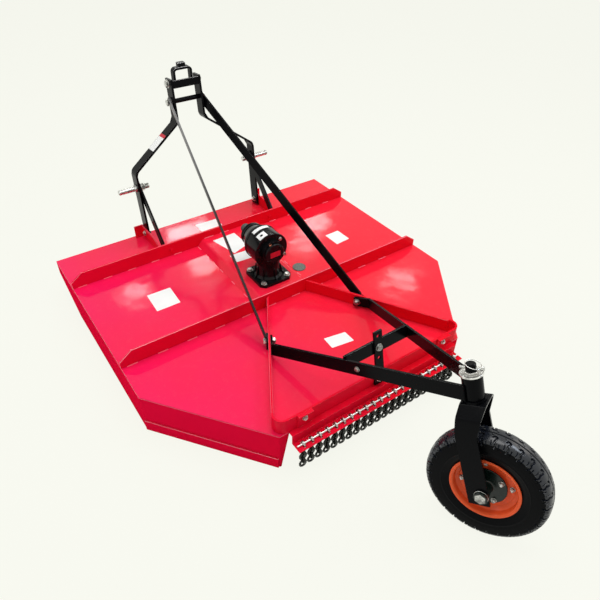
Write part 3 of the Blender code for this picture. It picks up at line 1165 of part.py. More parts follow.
def link(centre, turn):
    """One long link of round wire, standing in the plane that turn gives round Z."""
    bend = LINK_WIDTH / 2 - LINK_WIRE
    straight = LINK_LENGTH / 2 - LINK_WIDTH / 2
    outline = arc((0, straight), bend, 0, pi, 2) + arc((0, -straight), bend, pi, 2 * pi, 2)
    shape = bmesh.new()
    rings = []
    for index, (a, z) in enumerate(outline):
        before, after = Vector(outline[index - 1]), Vector(outline[(index + 1) % len(outline)])
        step = (after - before).normalized()
        out = Vector((step.y, -step.x))
        ring = []
        for k in range(LINK_SIDES):
            angle = 2 * pi * k / LINK_SIDES
            ring.append(shape.verts.new((a + out.x * cos(angle) * LINK_WIRE, sin(angle) * LINK_WIRE,
                                         z + out.y * cos(angle) * LINK_WIRE)))
        rings.append(ring)
    for index, ring in enumerate(rings):
        following = rings[(index + 1) % len(rings)]
        for k in range(LINK_SIDES):
            after = (k + 1) % LINK_SIDES
            shape.faces.new((ring[k], ring[after], following[after], following[k]))
    bmesh.ops.recalc_face_normals(shape, faces=shape.faces)
    return placed(shape, Matrix.Translation(centre) @ Matrix.Rotation(turn, 4, "Z"))


def chain_curtain(machine):
    """The rod that lies on the shelf and the short chains that hang from it through the slots."""
    wire = 2 * LINK_WIRE
    pitch = LINK_LENGTH - 2 * wire - LINK_SEAT
    top = ROD_Z + ROD_RADIUS + wire - LINK_SEAT - LINK_LENGTH / 2
    links = [link((0, ROD_Y, top - k * pitch), pi / 2 * ((k + 1) % 2))
             for k in range(LINKS_PER_CHAIN)]
    chain = joined(*links)
    curtain = bmesh.new()
    pattern = bpy.data.meshes.new("chain")
    chain.to_mesh(pattern)
    chain.free()
    for x in chain_positions():
        start = len(curtain.verts)
        curtain.from_mesh(pattern)
        curtain.verts.ensure_lookup_table()
        bmesh.ops.translate(curtain, vec=(x, 0, 0), verts=curtain.verts[start:])
    bpy.data.meshes.remove(pattern)
    reach = GUARD_HALF - 0.004
    bar = rod(ROD_RADIUS, (-reach, ROD_Y, ROD_Z), (reach, ROD_Y, ROD_Z), 6)
    piece("chain_curtain", joined(bar, curtain), "dark_chain", machine)


def centre_on_floor(machine):
    """Moves the machine so that the origin is under the middle of its whole box."""
    bpy.context.view_layer.update()
    ys = []
    for item in bpy.data.objects:
        if item.type == "MESH":
            ys += [(item.matrix_world @ vertex.co).y for vertex in item.data.vertices]
    machine.location.y -= (min(ys) + max(ys)) / 2
    bpy.context.view_layer.update()


def build():
    for item in list(bpy.data.objects):
        bpy.data.objects.remove(item)
    machine = empty("machine")
    deck_plate(machine)
    side_skirts(machine)
    skirt_bands(machine)
    cross_beams(machine)
    ribs(machine)
    rear_flange(machine)
    gearbox_plates(machine)
    gearbox(machine)
    input_shaft(machine)
    rotor(machine)
    mast_arms(machine)
    lower_pins(machine)
    mast_struts(machine)
    hitch_brackets(machine)
    mast_cross_pieces(machine)
    top_link_yoke(machine)
    braces(machine)
    pivot_bolts(machine)
    caster(tail_frame(machine))
    chain_rail(machine)
    chain_curtain(machine)
    centre_on_floor(machine)


build()
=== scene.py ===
"""Looks of a three-point-hitch rotary mower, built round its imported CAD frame."""

import json

from math import atan2, cos, degrees, pi, radians, sin

import bmesh
import bpy
import numpy as np
from mathutils import Matrix, Vector, noise


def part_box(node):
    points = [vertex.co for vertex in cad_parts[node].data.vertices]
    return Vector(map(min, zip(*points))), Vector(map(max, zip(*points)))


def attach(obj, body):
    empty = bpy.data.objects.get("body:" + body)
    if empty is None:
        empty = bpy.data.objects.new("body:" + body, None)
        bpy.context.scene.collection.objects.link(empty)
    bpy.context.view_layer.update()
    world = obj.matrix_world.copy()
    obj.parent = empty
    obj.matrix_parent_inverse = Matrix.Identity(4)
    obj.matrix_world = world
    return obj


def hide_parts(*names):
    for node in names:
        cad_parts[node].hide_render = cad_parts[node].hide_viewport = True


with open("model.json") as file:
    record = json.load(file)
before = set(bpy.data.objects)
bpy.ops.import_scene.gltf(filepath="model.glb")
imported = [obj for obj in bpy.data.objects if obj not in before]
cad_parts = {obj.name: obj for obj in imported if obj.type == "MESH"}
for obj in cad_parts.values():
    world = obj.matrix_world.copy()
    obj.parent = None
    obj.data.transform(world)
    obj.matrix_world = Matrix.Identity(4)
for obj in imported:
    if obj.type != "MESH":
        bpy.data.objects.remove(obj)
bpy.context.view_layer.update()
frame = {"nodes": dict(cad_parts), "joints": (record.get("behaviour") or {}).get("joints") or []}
scene = bpy.context.scene
joints = {joint["name"]: joint for joint in frame["joints"]}
X, Y, Z = Vector((1, 0, 0)), Vector((0, 1, 0)), Vector((0, 0, 1))

# Deck
# A flat deck of 4 mm steel sheet with folded side skirts, welded together and sprayed
# glossy red all over. The welds along its bars are left as they were laid.


def feed(tree, socket, value):
    """Gives a socket its value, or links it to the socket that feeds it."""
    if isinstance(value, bpy.types.NodeSocket):
        tree.links.new(value, socket)
    else:
        socket.default_value = value


def node(tree, kind, inputs=None, **settings):
    """Adds a shader node. inputs maps its sockets to values or to the sockets that feed them."""
    made = tree.nodes.new("ShaderNode" + kind)
    for key, value in settings.items():
        setattr(made, key, value)
    for key, value in (inputs or {}).items():
        feed(tree, made.inputs[key], value)
    return made


def maths(tree, operation, *values, clamp=False):
    """The result of a Math node."""
    return node(tree, "Math", dict(enumerate(values)), operation=operation, use_clamp=clamp).outputs[0]


def remap(tree, *values):
    """A value held and stretched: (value, from low, from high, to low, to high)."""
    return node(tree, "MapRange", dict(enumerate(values))).outputs[0]


def speckle(tree, spot, scale, detail=2.0, roughness=0.5):
    """The value of a noise texture."""
    return node(tree, "TexNoise", {"Vector": spot, "Scale": scale, "Detail": detail,
                                   "Roughness": roughness}).outputs[0]


def blend_colours(tree, factor, first, second):
    return node(tree, "Mix", {0: factor, 6: first, 7: second}, data_type="RGBA").outputs[2]


def object_spot(tree):
    return node(tree, "TexCoord").outputs["Object"]


def node_group(name, inputs, outputs):
    """A shader node group: its tree, its inputs and the sockets that take its results."""
    tree = bpy.data.node_groups.new(name, "ShaderNodeTree")
    for label, value in inputs.items():
        socket = tree.interface.new_socket(name=label, in_out="INPUT", socket_type="NodeSocketFloat")
        socket.default_value = value
    for label in outputs:
        tree.interface.new_socket(name=label, in_out="OUTPUT", socket_type="NodeSocketFloat")
    return tree, tree.nodes.new("NodeGroupInput").outputs, tree.nodes.new("NodeGroupOutput").inputs


def place_group(tree, group, **values):
    """Puts a shared effect into a material and gives back its results."""
    placed = node(tree, "Group", node_tree=group)
    for label, value in values.items():
        feed(tree, placed.inputs[label.replace("_", " ")], value)
    return placed.outputs


def new_material(name):
    """A material with its own Principled shader: (material, node tree, shader)."""
    made = bpy.data.materials.new(name)
    made.use_nodes = True
    return made, made.node_tree, made.node_tree.nodes["Principled BSDF"]


def set_shader(tree, shader, colour, height=None, distance=1.0, **values):
    """Gives a shader its colour, a bump from a height, and values for its other inputs."""
    feed(tree, shader.inputs["Base Color"], colour)
    if height:
        bump = node(tree, "Bump", {"Height": height, "Distance": distance})
        feed(tree, shader.inputs["Normal"], bump.outputs[0])
    for label, value in values.items():
        feed(tree, shader.inputs[label.replace("_", " ")], value)


# Sprayed paint: a fine orange peel and the long waves of rolled sheet, as a height in metres,
# with a tone that varies at random, a painted colour cast that grows from left to right, and a
# mask of the dust that lies on upward faces.
sprayed, given, results = node_group(
    "sprayed paint", {"Peel": 0.00001, "Waves": 0.0003, "Wave Scale": 5.0, "Drift": 0.0},
    ["Height", "Tone", "Dust"])
spot = object_spot(sprayed)
peel = maths(sprayed, "MULTIPLY", speckle(sprayed, spot, 380.0, 1.0), given["Peel"])
wave = maths(sprayed, "MULTIPLY", speckle(sprayed, spot, given["Wave Scale"], 1.5), given["Waves"])
feed(sprayed, results["Height"], maths(sprayed, "ADD", peel, wave))
# the painted colour cast: a tint that grows towards the right, added to the random tone
sideways = maths(sprayed, "ADD", node(sprayed, "SeparateXYZ", {0: spot}).outputs[0], 0.40)
tone = speckle(sprayed, spot, 2.3, 3.0)
feed(sprayed, results["Tone"],
     maths(sprayed, "MULTIPLY_ADD", sideways, given["Drift"], tone, clamp=True))
normal = node(sprayed, "NewGeometry").outputs["Normal"]
up = node(sprayed, "SeparateXYZ", {0: normal}).outputs[2]
specks = remap(sprayed, speckle(sprayed, spot, 55.0, 6.0, 0.7), 0.52, 0.80)
feed(sprayed, results["Dust"], maths(sprayed, "MULTIPLY", specks, up, clamp=True))


def paint(name, colour, deeper, dusty, peel=0.00001, waves=0.0003, wave_scale=5.0, specular=0.15,
          roughness=0.24, dust=0.05, coat=0.0, painted_cast=0.0):
    """Sprayed paint between two tones, mixed at random and by a painted colour cast from left to right,
    with a thin dust on its upward faces.
    """
    made, tree, shader = new_material(name)
    surface = place_group(tree, sprayed, Peel=peel, Waves=waves, Wave_Scale=wave_scale, Drift=painted_cast)
    base = blend_colours(tree, surface["Tone"], colour, deeper)
    dusted = blend_colours(tree, maths(tree, "MULTIPLY", surface["Dust"], dust), base, dusty)
    gloss = remap(tree, surface["Dust"], 0.0, 1.0, roughness, roughness + 0.12)
    set_shader(tree, shader, dusted, surface["Height"], Roughness=gloss, Specular_IOR_Level=specular,
               Coat_Weight=coat, Coat_Roughness=0.08)
    return made


# the red runs from magenta on the left to orange-red on the right, a painted colour cast of cool light
# from the left and warm light from the right
red = paint("red_enamel", (0.88, 0.007, 0.100, 1), (0.87, 0.013, 0.036, 1), (0.86, 0.30, 0.27, 1),
            waves=0.0022, wave_scale=6.5, specular=0.20, roughness=0.10, painted_cast=0.90)
# darker copies of the deck's red for the bars and skirts: painted shade on their upright faces, which
# the light from above leaves darker; they carry the same painted colour cast
red_painted_shade = paint("red_enamel_on_bars_painted_shade", (0.82, 0.004, 0.042, 1), (0.80, 0.005, 0.018, 1),
                 (0.86, 0.30, 0.27, 1), waves=0.0006, wave_scale=14.0, specular=0.025, roughness=0.28,
                 painted_cast=0.90)
red_skirt_painted_shade = paint("red_enamel_on_skirts_painted_shade", (0.80, 0.004, 0.045, 1), (0.78, 0.005, 0.020, 1),
                  (0.86, 0.30, 0.27, 1), waves=0.0006, wave_scale=14.0, specular=0.0, roughness=0.4,
                  painted_cast=0.90)
# the weld beads' red blends in broad patches towards pale pink, a painted highlight on the beads
red_weld_painted_highlight = paint("red_enamel_on_weld_painted_highlight", (0.93, 0.03, 0.09, 1), (0.95, 0.20, 0.28, 1), (0.9, 0.5, 0.5, 1),
                 peel=0.00006, waves=0.0002, wave_scale=160.0, specular=0.4, roughness=0.3)


def merged_copy(name):
    """A CAD node's mesh, with its loose triangles merged into whole faces."""
    shape = bmesh.new()
    shape.from_mesh(frame["nodes"][name].data)
    bmesh.ops.remove_doubles(shape, verts=shape.verts, dist=0.00001)
    bmesh.ops.dissolve_limit(shape, angle_limit=0.01, verts=shape.verts, edges=shape.edges)
    return shape


def bevel(shape, geom, offset, segments=2, affect="EDGES"):
    """Rounds edges or corners and gives back the new faces."""
    return bmesh.ops.bevel(shape, geom=geom, offset=offset, affect=affect, segments=segments,
                           profile=0.5, clamp_overlap=True, material=-1)["faces"]


def edges_that_turn(shape, low, high=200, shortest=0.0):
    """The edges between two faces that turn by more than low and less than high degrees."""
    return [edge for edge in shape.edges if edge.is_manifold and edge.calc_length() >= shortest
            and radians(low) < edge.calc_face_angle() < radians(high)]


def add_piece(name, shape, material, body, stands_for=(), crease=40):
    """Turns a bmesh into a finished piece that rides on a body."""
    mesh = bpy.data.meshes.new(name)
    shape.to_mesh(mesh)
    shape.free()
    mesh.materials.append(material)
    mesh.shade_smooth()
    mesh.set_sharp_from_angle(angle=radians(crease))
    made = bpy.data.objects.new(name, mesh)
    scene.collection.objects.link(made)
    normals = made.modifiers.new("face_normals", "WEIGHTED_NORMAL")
    normals.keep_sharp = True
    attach(made, body)
    if stands_for:
        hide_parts(*stands_for)
    return made


def dressed(names, material, body, edge=0.001, bend=None, rim=None):
    """Copies CAD nodes with their edges rounded. Where a rim material is given, the rounded edges
    that look upwards wear it as a painted highlight of the light from above."""
    for name in names:
        shape = merged_copy(name)
        if bend:
            # the mitred bends of a folded bar or sheet become round ones
            bevel(shape, edges_that_turn(shape, 10, 75, shortest=0.02), bend, 6)
        rounded = bevel(shape, edges_that_turn(shape, 34), edge)
        if rim:
            # rounded faces that look upwards take the rim material: a painted highlight
            for face in rounded:
                face.material_index = int(face.normal.z > 0.3)
        made = add_piece(name + "_finished", shape, material, body, [name])
        if rim:
            made.data.materials.append(rim)


# On the narrow upward-looking edges of the bars the red is painted pale pink under a glassier coat, a
# painted highlight; its heavy dust share lightens them further.
red_edge_painted_highlight = paint("red_enamel_on_edge_painted_highlight", (0.95, 0.22, 0.32, 1), (0.93, 0.05, 0.11, 1),
                (0.92, 0.55, 0.58, 1), waves=0.0004, wave_scale=30.0, specular=0.9, roughness=0.22,
                dust=0.5, coat=0.6)
dressed(["deck_plate", "gearbox_plate"], red, "frame", edge=0.0012, bend=0.008)
dressed(["side_skirt_left", "side_skirt_right"], red_skirt_painted_shade, "frame", edge=0.0014,
        bend=0.012, rim=red_edge_painted_highlight)
dressed(["skirt_band_left", "skirt_band_right"], red_skirt_painted_shade, "frame", edge=0.0012,
        rim=red_edge_painted_highlight)
dressed(["front_beam", "rear_beam", "rear_flange", "rib_left", "rib_right"], red_painted_shade, "frame",
        edge=0.0018, bend=0.010, rim=red_edge_painted_highlight)
dressed(["hitch_bracket_left", "hitch_bracket_right", "chain_rail"], red_painted_shade, "frame",
        edge=0.001, bend=0.006, rim=red_edge_painted_highlight)

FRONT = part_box("deck_plate")[1].y    # the deck's front edge, from which the places below are measured
DECK_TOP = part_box("deck_plate")[1].z


def at(x, y, z=0.0):
    """A point given from the middle of the deck's front edge."""
    return Vector((x, FRONT + y, z))


# Stitch welds
# Short runs of weld that hold the bars, ribs and skirts to the deck. Each run is a row of
# overlapping drops under the same red paint, drawn in a copy that blends in broad patches towards
# pale pink, a painted highlight.
WELD_DROP, WELD_STEP = 0.0032, 0.0034
STITCHES = [
    # (start x, start y, end x, end y, height, length of a run, pitch of the runs)
    (-0.735, -0.2598, -0.150, -0.2598, 0.0, 0.040, 0.115),
    (0.150, -0.2598, 0.735, -0.2598, 0.0, 0.040, 0.115),
    (-0.735, -0.8398, 0.735, -0.8398, 0.0, 0.042, 0.125),
    (-0.735, -0.8282, -0.150, -0.8282, 0.0, 0.030, 0.160),
    (0.150, -0.8282, 0.735, -0.8282, 0.0, 0.030, 0.160),
    (-0.700, -0.2482, 0.700, -0.2482, 0.0, 0.030, 0.170),
    (-0.142, -0.2600, -0.142, -0.8200, 0.0, 0.030, 0.110),
    (0.142, -0.2600, 0.142, -0.8200, 0.0, 0.030, 0.110),
    (-0.110, -0.2604, 0.110, -0.2604, 0.032, 0.050, 0.085),
    (-0.110, -0.8276, 0.110, -0.8276, 0.032, 0.050, 0.085),
]


def weld_bead(shape, start, along, count, step, radius):
    """A row of overlapping drops from a point along a direction."""
    for k in range(count):
        drop = start + along * (k * step)
        drop += Vector(noise.noise_vector(drop * 240.0)) * 0.0004
        bmesh.ops.create_icosphere(shape, subdivisions=1, radius=radius, matrix=Matrix.Translation(drop))


shape = bmesh.new()
for x0, y0, x1, y1, rise, run, pitch in STITCHES:
    start, end = at(x0, y0, DECK_TOP + rise), at(x1, y1, DECK_TOP + rise)
    along = (end - start).normalized()
    for k in range(int((end - start).length / pitch)):
        weld_bead(shape, start + along * (k * pitch + 0.01), along, int(run / WELD_STEP), WELD_STEP,
                  WELD_DROP)
add_piece("stitch_welds", shape, red_weld_painted_highlight, "frame")

# Blank stickers
# White vinyl labels, left blank, on the deck and on the folded plate under the gearbox.
vinyl, tree, shader = new_material("white_vinyl")
spot = object_spot(tree)
colour = blend_colours(tree, speckle(tree, spot, 14.0, 4.0), (0.90, 0.90, 0.86, 1),
                       (0.80, 0.79, 0.76, 1))
set_shader(tree, shader, colour, speckle(tree, spot, 60.0), 0.0004, Roughness=0.35)
PLATE_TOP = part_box("gearbox_plate")[1].z
STICKERS = [
    ("left", DECK_TOP, [(-0.504, -0.604), (-0.397, -0.604), (-0.391, -0.484), (-0.499, -0.481)]),
    ("front", DECK_TOP, [(-0.064, -0.160), (0.052, -0.158), (0.058, -0.079), (-0.065, -0.074)]),
    ("plate_upper", PLATE_TOP, [(-0.042, -0.452), (0.046, -0.420), (0.043, -0.296), (-0.078, -0.301)]),
    ("plate_lower", PLATE_TOP, [(-0.069, -0.522), (0.009, -0.528), (0.016, -0.462), (-0.073, -0.458)]),
    ("right", DECK_TOP, [(0.438, -0.626), (0.519, -0.619), (0.517, -0.528), (0.437, -0.530)]),
    ("rear", DECK_TOP, [(-0.026, -1.194), (0.072, -1.209), (0.073, -1.150), (-0.022, -1.133)]),
]


def thicken(shape, along):
    """Draws a flat shape out along a vector into a closed slab."""
    grown = bmesh.ops.extrude_face_region(shape, geom=shape.faces[:])
    moved = [item for item in grown["geom"] if isinstance(item, bmesh.types.BMVert)]
    bmesh.ops.translate(shape, vec=along, verts=moved)
    bmesh.ops.recalc_face_normals(shape, faces=shape.faces)


for label, level, corners in STICKERS:
    shape = bmesh.new()
    shape.faces.new([shape.verts.new(at(x, y, level + 0.0001)) for x, y in corners])
    bevel(shape, shape.verts[:], 0.004, 4, "VERTICES")
    thicken(shape, (0, 0, 0.0003))
    add_piece("sticker_" + label, shape, vinyl, "frame")

# Hitch and tail frame
# Flat steel bars, cut, bent and sprayed black: the two mast arms with their struts and band,
# the two long braces, and the sloping frame that carries the tail wheel's swivel.
black = paint("black_enamel", (0.0030, 0.0033, 0.0042, 1), (0.0016, 0.0016, 0.0022, 1),
              (0.06, 0.057, 0.055, 1), peel=0.000012, waves=0.0001, wave_scale=24.0, specular=0.06,
              roughness=0.22, dust=0.04)
# the upward-looking rounded edges of the black bars are painted light grey, with a heavy pale dust
# share: a painted highlight where they catch the light from above
black_edge_painted_highlight = paint("black_enamel_on_edge_painted_highlight", (0.42, 0.41, 0.41, 1), (0.050, 0.050, 0.052, 1),
                  (0.60, 0.58, 0.57, 1), waves=0.0001, wave_scale=30.0, specular=0.9, roughness=0.25,
                  dust=0.5, coat=0.8)
dressed(["mast_arm_left", "mast_arm_right", "mast_strut_left", "mast_strut_right"], black, "frame",
        edge=0.0012, bend=0.016, rim=black_edge_painted_highlight)
dressed(["mast_band", "brace_right", "wheel_arm_left", "wheel_arm_right", "frame_crossbar",
         "height_strap"], black, "frame", edge=0.0012, bend=0.008, rim=black_edge_painted_highlight)
dressed(["swivel_barrel"], black, "frame", edge=0.0020)
# The left brace's upper part is painted pale grey that fades to black half-way down: a painted
# reflection.
brace_painted_sheen, tree, shader = new_material("black_enamel_painted_sheen")
height = node(tree, "SeparateXYZ", {0: object_spot(tree)}).outputs[2]
height = maths(tree, "MULTIPLY_ADD", place_group(tree, sprayed)["Tone"], 0.12, height)
colour = blend_colours(tree, remap(tree, height, 0.60, 0.80), (0.004, 0.004, 0.0045, 1),
                       (0.17, 0.168, 0.16, 1))
set_shader(tree, shader, colour, Roughness=0.35, Specular_IOR_Level=0.15)
dressed(["brace_left"], brace_painted_sheen, "frame", edge=0.0022, bend=0.008)
dressed(["top_link_yoke"], black, "top_link", edge=0.0016, rim=black_edge_painted_highlight)
dressed(["fork"], black, "caster", edge=0.0014, bend=0.012)
# The arms are welded to the swivel's barrel, and the weld beads show under the paint: two a side,
# as (distance from the swivel's axis sideways, distance up the slope).
SWIVEL = Vector(joints["caster_swivel"]["pos_m"])
SWIVEL_AXIS = Vector(joints["caster_swivel"]["axis"]).normalized()
slope_back = Vector((0, -SWIVEL_AXIS.z, SWIVEL_AXIS.y))
shape = bmesh.new()
for side in (-1, 1):
    for sideways, ahead in ((0.0285, 0.0145), (0.0365, 0.002)):
        start = SWIVEL + X * side * sideways - slope_back * ahead - SWIVEL_AXIS * 0.024
        weld_bead(shape, start, SWIVEL_AXIS, count=15, step=0.0032, radius=0.0028)
add_piece("barrel_welds", shape, black, "frame")

# Bolts, nuts and pins
# Bright zinc-plated fasteners. Each is a hexagon head, washers and a nut on one threaded shank,
# and takes its place, direction and length from the CAD bolt that holds the same bars.

# Zinc plating: bands of light and dark by the way a facet looks, a painted reflection of a
# workshop in the bright metal, and the cloudy bloom of the plating.
plating, given, results = node_group("zinc plating", {"Swing": 7.0}, ["Bands", "Bloom"])
bloom = speckle(plating, object_spot(plating), 90.0, 4.0)
facing = node(plating, "VectorMath", {0: node(plating, "NewGeometry").outputs["Normal"],
                                      1: (9.0, 7.0, 5.0)}, operation="DOT_PRODUCT").outputs["Value"]
facing = maths(plating, "MULTIPLY_ADD", bloom, given["Swing"], facing)
feed(plating, results["Bands"], remap(plating, maths(plating, "SINE", facing), -0.9, 0.9))
feed(plating, results["Bloom"], bloom)


def zinc_plate(name, dark, bright):
    """Bright plated steel, with painted reflection bands between two tones."""
    made, tree, shader = new_material(name)
    surface = place_group(tree, plating)
    set_shader(tree, shader, blend_colours(tree, surface["Bands"], dark, bright), surface["Bloom"],
               0.0002, Roughness=remap(tree, surface["Bloom"], 0.0, 1.0, 0.20, 0.42), Metallic=1.0)
    return made


# the plated parts' light and dark bands are painted reflections
zinc = zinc_plate("zinc_plate", (0.20, 0.20, 0.195, 1), (0.74, 0.74, 0.71, 1))
# a lighter copy of the same plating for the chain rod and the swivel washer: painted highlight
zinc_painted_lighter = zinc_plate("zinc_plate_painted_lighter", (0.46, 0.45, 0.44, 1), (0.90, 0.90, 0.87, 1))
THREAD_PITCH = 0.0022


def axes(origin, z_axis, x_axis=None):
    """The matrix of a place whose Z looks along z_axis."""
    z_dir = Vector(z_axis).normalized()
    x_dir = Vector(x_axis) if x_axis else z_dir.orthogonal()
    x_dir = (x_dir - z_dir * x_dir.dot(z_dir)).normalized()
    matrix = Matrix((x_dir, z_dir.cross(x_dir), z_dir)).transposed().to_4x4()
    matrix.translation = Vector(origin)
    return matrix


def turn(shape, profile, matrix, steps=32, closed=False):
    """Spins a profile of (radius, height) pairs round matrix's Z and adds it to shape."""
    part = bmesh.new()
    verts = [part.verts.new((radius, 0, height)) for radius, height in profile]
    edges = [part.edges.new(pair) for pair in zip(verts, verts[1:])]
    if closed:
        edges.append(part.edges.new((verts[-1], verts[0])))
    bmesh.ops.spin(part, geom=verts + edges, cent=(0, 0, 0), axis=(0, 0, 1), angle=2 * pi, steps=steps,
                   use_merge=True)
    bmesh.ops.remove_doubles(part, verts=part.verts, dist=0.000001)
    bmesh.ops.recalc_face_normals(part, faces=part.faces)
    add_shape(shape, part, matrix)


def add_shape(shape, part, matrix):
    """Moves part by the matrix, adds it to shape and frees it."""
    bmesh.ops.transform(part, matrix=matrix, verts=part.verts)
    mesh = bpy.data.meshes.new("part")
    part.to_mesh(mesh)
    part.free()
    shape.from_mesh(mesh)
    bpy.data.meshes.remove(mesh)


def hexagon(shape, radius, low, high, matrix, chamfer=0.0014):
    """A hexagonal head or nut between two heights, with its corners turned off at both ends."""
    part = bmesh.new()
    bmesh.ops.create_cone(part, segments=6, radius1=radius, radius2=radius, depth=high - low,
                          cap_ends=True)
    bmesh.ops.translate(part, vec=(0, 0, (low + high) / 2), verts=part.verts)
    rims = [edge for edge in part.edges if abs(edge.verts[0].co.z - edge.verts[1].co.z) < 1e-6]
    bevel(part, rims, chamfer)
    add_shape(shape, part, matrix)


def thread(radius, low, high):
    """Profile of a threaded end, from its flat tip down."""
    profile = [(0, high), (radius - 0.0012, high), (radius, high - 0.0012)]
    z = high - 0.0012
    while z - THREAD_PITCH > low:
        profile += [(radius - 0.0008, z - THREAD_PITCH / 2), (radius, z - THREAD_PITCH)]
        z -= THREAD_PITCH
    return profile + [(radius, low), (0, low)]


def washer(shape, inner, outer, low, high, matrix):
    rim = min(0.0004, (high - low) / 3)
    turn(shape, [(inner, low), (outer - rim, low), (outer, low + rim), (outer, high - rim),
                 (outer - rim, high), (inner, high)], matrix, 36, closed=True)


def bolt(shape, matrix, radius, hex_radius, head, grip, nut, stub, plate=0.0018):
    """A bolt along matrix's Z: its head's washer seats at 0, and its nut's washer at grip."""
    washer(shape, radius * 0.9, hex_radius * 1.22, -plate, 0, matrix)
    hexagon(shape, hex_radius, -plate - head, -plate, matrix)
    turn(shape, [(0, -plate), (hex_radius * 0.78, -plate), (hex_radius * 0.78, -plate - head - 0.0003),
                 (hex_radius * 0.74, -plate - head - 0.0006), (0, -plate - head - 0.0006)], matrix, 24)
    washer(shape, radius * 0.9, hex_radius * 1.22, grip, grip + plate, matrix)
    hexagon(shape, hex_radius, grip + plate, grip + plate + nut, matrix)
    turn(shape, thread(radius, grip + plate, grip + plate + nut + stub), matrix, 20)


def cad_axis(name, direction):
    """The line of a CAD bolt: (a point on it, its direction, its low end, its high end)."""
    direction = Vector(direction).normalized()
    points = [vert.co for vert in frame["nodes"][name].data.vertices]
    low, high = min(p.dot(direction) for p in points), max(p.dot(direction) for p in points)
    across = [p - direction * p.dot(direction) for p in points]
    middle = Vector([(min(p[k] for p in across) + max(p[k] for p in across)) / 2 for k in range(3)])
    return middle - direction * middle.dot(direction), direction, low, high


RIB_OUT = Vector((0.8595, 0.5111, 0))                            # square to the right rib
STRAP_OUT = Vector((0, cos(radians(12.8)), -sin(radians(12.8))))  # square to the leaning strap
BOLTS = [
    # (CAD bolt, its direction, radius, hexagon's radius, head's seat from the low end,
    #  nut's seat from the high end, head, nut, threads past the nut)
    ("pivot_bolt_left", (0.8595, -0.5111, 0), 0.008, 0.0130, 0.014, 0.014, 0.008, 0.009, 0.003),
    ("pivot_bolt_right", -RIB_OUT, 0.008, 0.0130, 0.014, 0.014, 0.008, 0.009, 0.003),
    ("foot_bolt_left", X, 0.007, 0.0118, 0.012, 0.012, 0.007, 0.008, 0.003),
    ("foot_bolt_right", -X, 0.007, 0.0118, 0.012, 0.012, 0.007, 0.008, 0.003),
    ("mast_upper_bolt", X, 0.0095, 0.0155, 0.016, 0.014, 0.010, 0.010, 0.004),
    ("strap_bolt", STRAP_OUT, 0.0069, 0.0118, 0.009, 0.014, 0.007, 0.008, 0.004),
    ("strap_foot_bolt", Y, 0.0069, 0.0118, 0.009, 0.014, 0.007, 0.008, 0.004),
    ("strut_bolt_left", Y, 0.0057, 0.0085, 0.007, 0.012, 0.004, 0.007, 0.003),
    ("strut_bolt_right", Y, 0.0057, 0.0085, 0.007, 0.012, 0.004, 0.007, 0.003),
    ("rail_bolt_left", Y, 0.005, 0.0088, 0.006, 0.012, 0.0055, 0.006, 0.003),
    ("rail_bolt_right", Y, 0.005, 0.0088, 0.006, 0.012, 0.0055, 0.006, 0.003),
]
for name, direction, radius, hex_radius, from_low, from_high, head, nut, stub in BOLTS:
    point, direction, low, high = cad_axis(name, direction)
    shape = bmesh.new()
    bolt(shape, axes(point + direction * (low + from_low), direction), radius, hex_radius, head,
         high - low - from_low - from_high, nut, stub)
    # the struts' bolts were sprayed over with the deck, and take the bars' darker red with its painted
    # shade
    finish = red_painted_shade if name.startswith("strut") else zinc
    add_piece(name + "_finished", shape, finish, "frame", [name], crease=30)

# Crossbar bolts
# A short zinc bolt through each wheel arm, which holds the end of the crossbar.
shape = bmesh.new()
for side in (-1, 1):
    place = axes((side * 0.1372, -0.4174, 0.3526), (side * 0.963, -0.248, 0.103))
    washer(shape, 0.004, 0.0098, 0, 0.0015, place)
    hexagon(shape, 0.0082, 0.0015, 0.0070, place)
add_piece("crossbar_bolts", shape, zinc, "frame", crease=30)

# Lower mast bolt
# A bolt through both mast plates and the tops of the braces, with a black spacer tube between
# the plates that keeps them apart.
point, direction, low, high = cad_axis("mast_lower_bolt", (1, 0, 0))
shape = bmesh.new()
bolt(shape, axes(point + direction * (low + 0.016), direction), 0.0095, 0.0155, 0.010,
     high - low - 0.030, 0.010, 0.003)
add_piece("mast_lower_bolt_zinc", shape, zinc, "frame", crease=30)
shape = bmesh.new()
SPACER_HALF = 0.0627
turn(shape, [(0.0090, -SPACER_HALF), (0.0100, -SPACER_HALF), (0.0108, -SPACER_HALF + 0.001),
             (0.0108, SPACER_HALF - 0.001), (0.0100, SPACER_HALF), (0.0090, SPACER_HALF)],
     axes(point, X), 40, closed=True)
add_piece("mast_spacer", shape, black, "frame", ["mast_lower_bolt"])

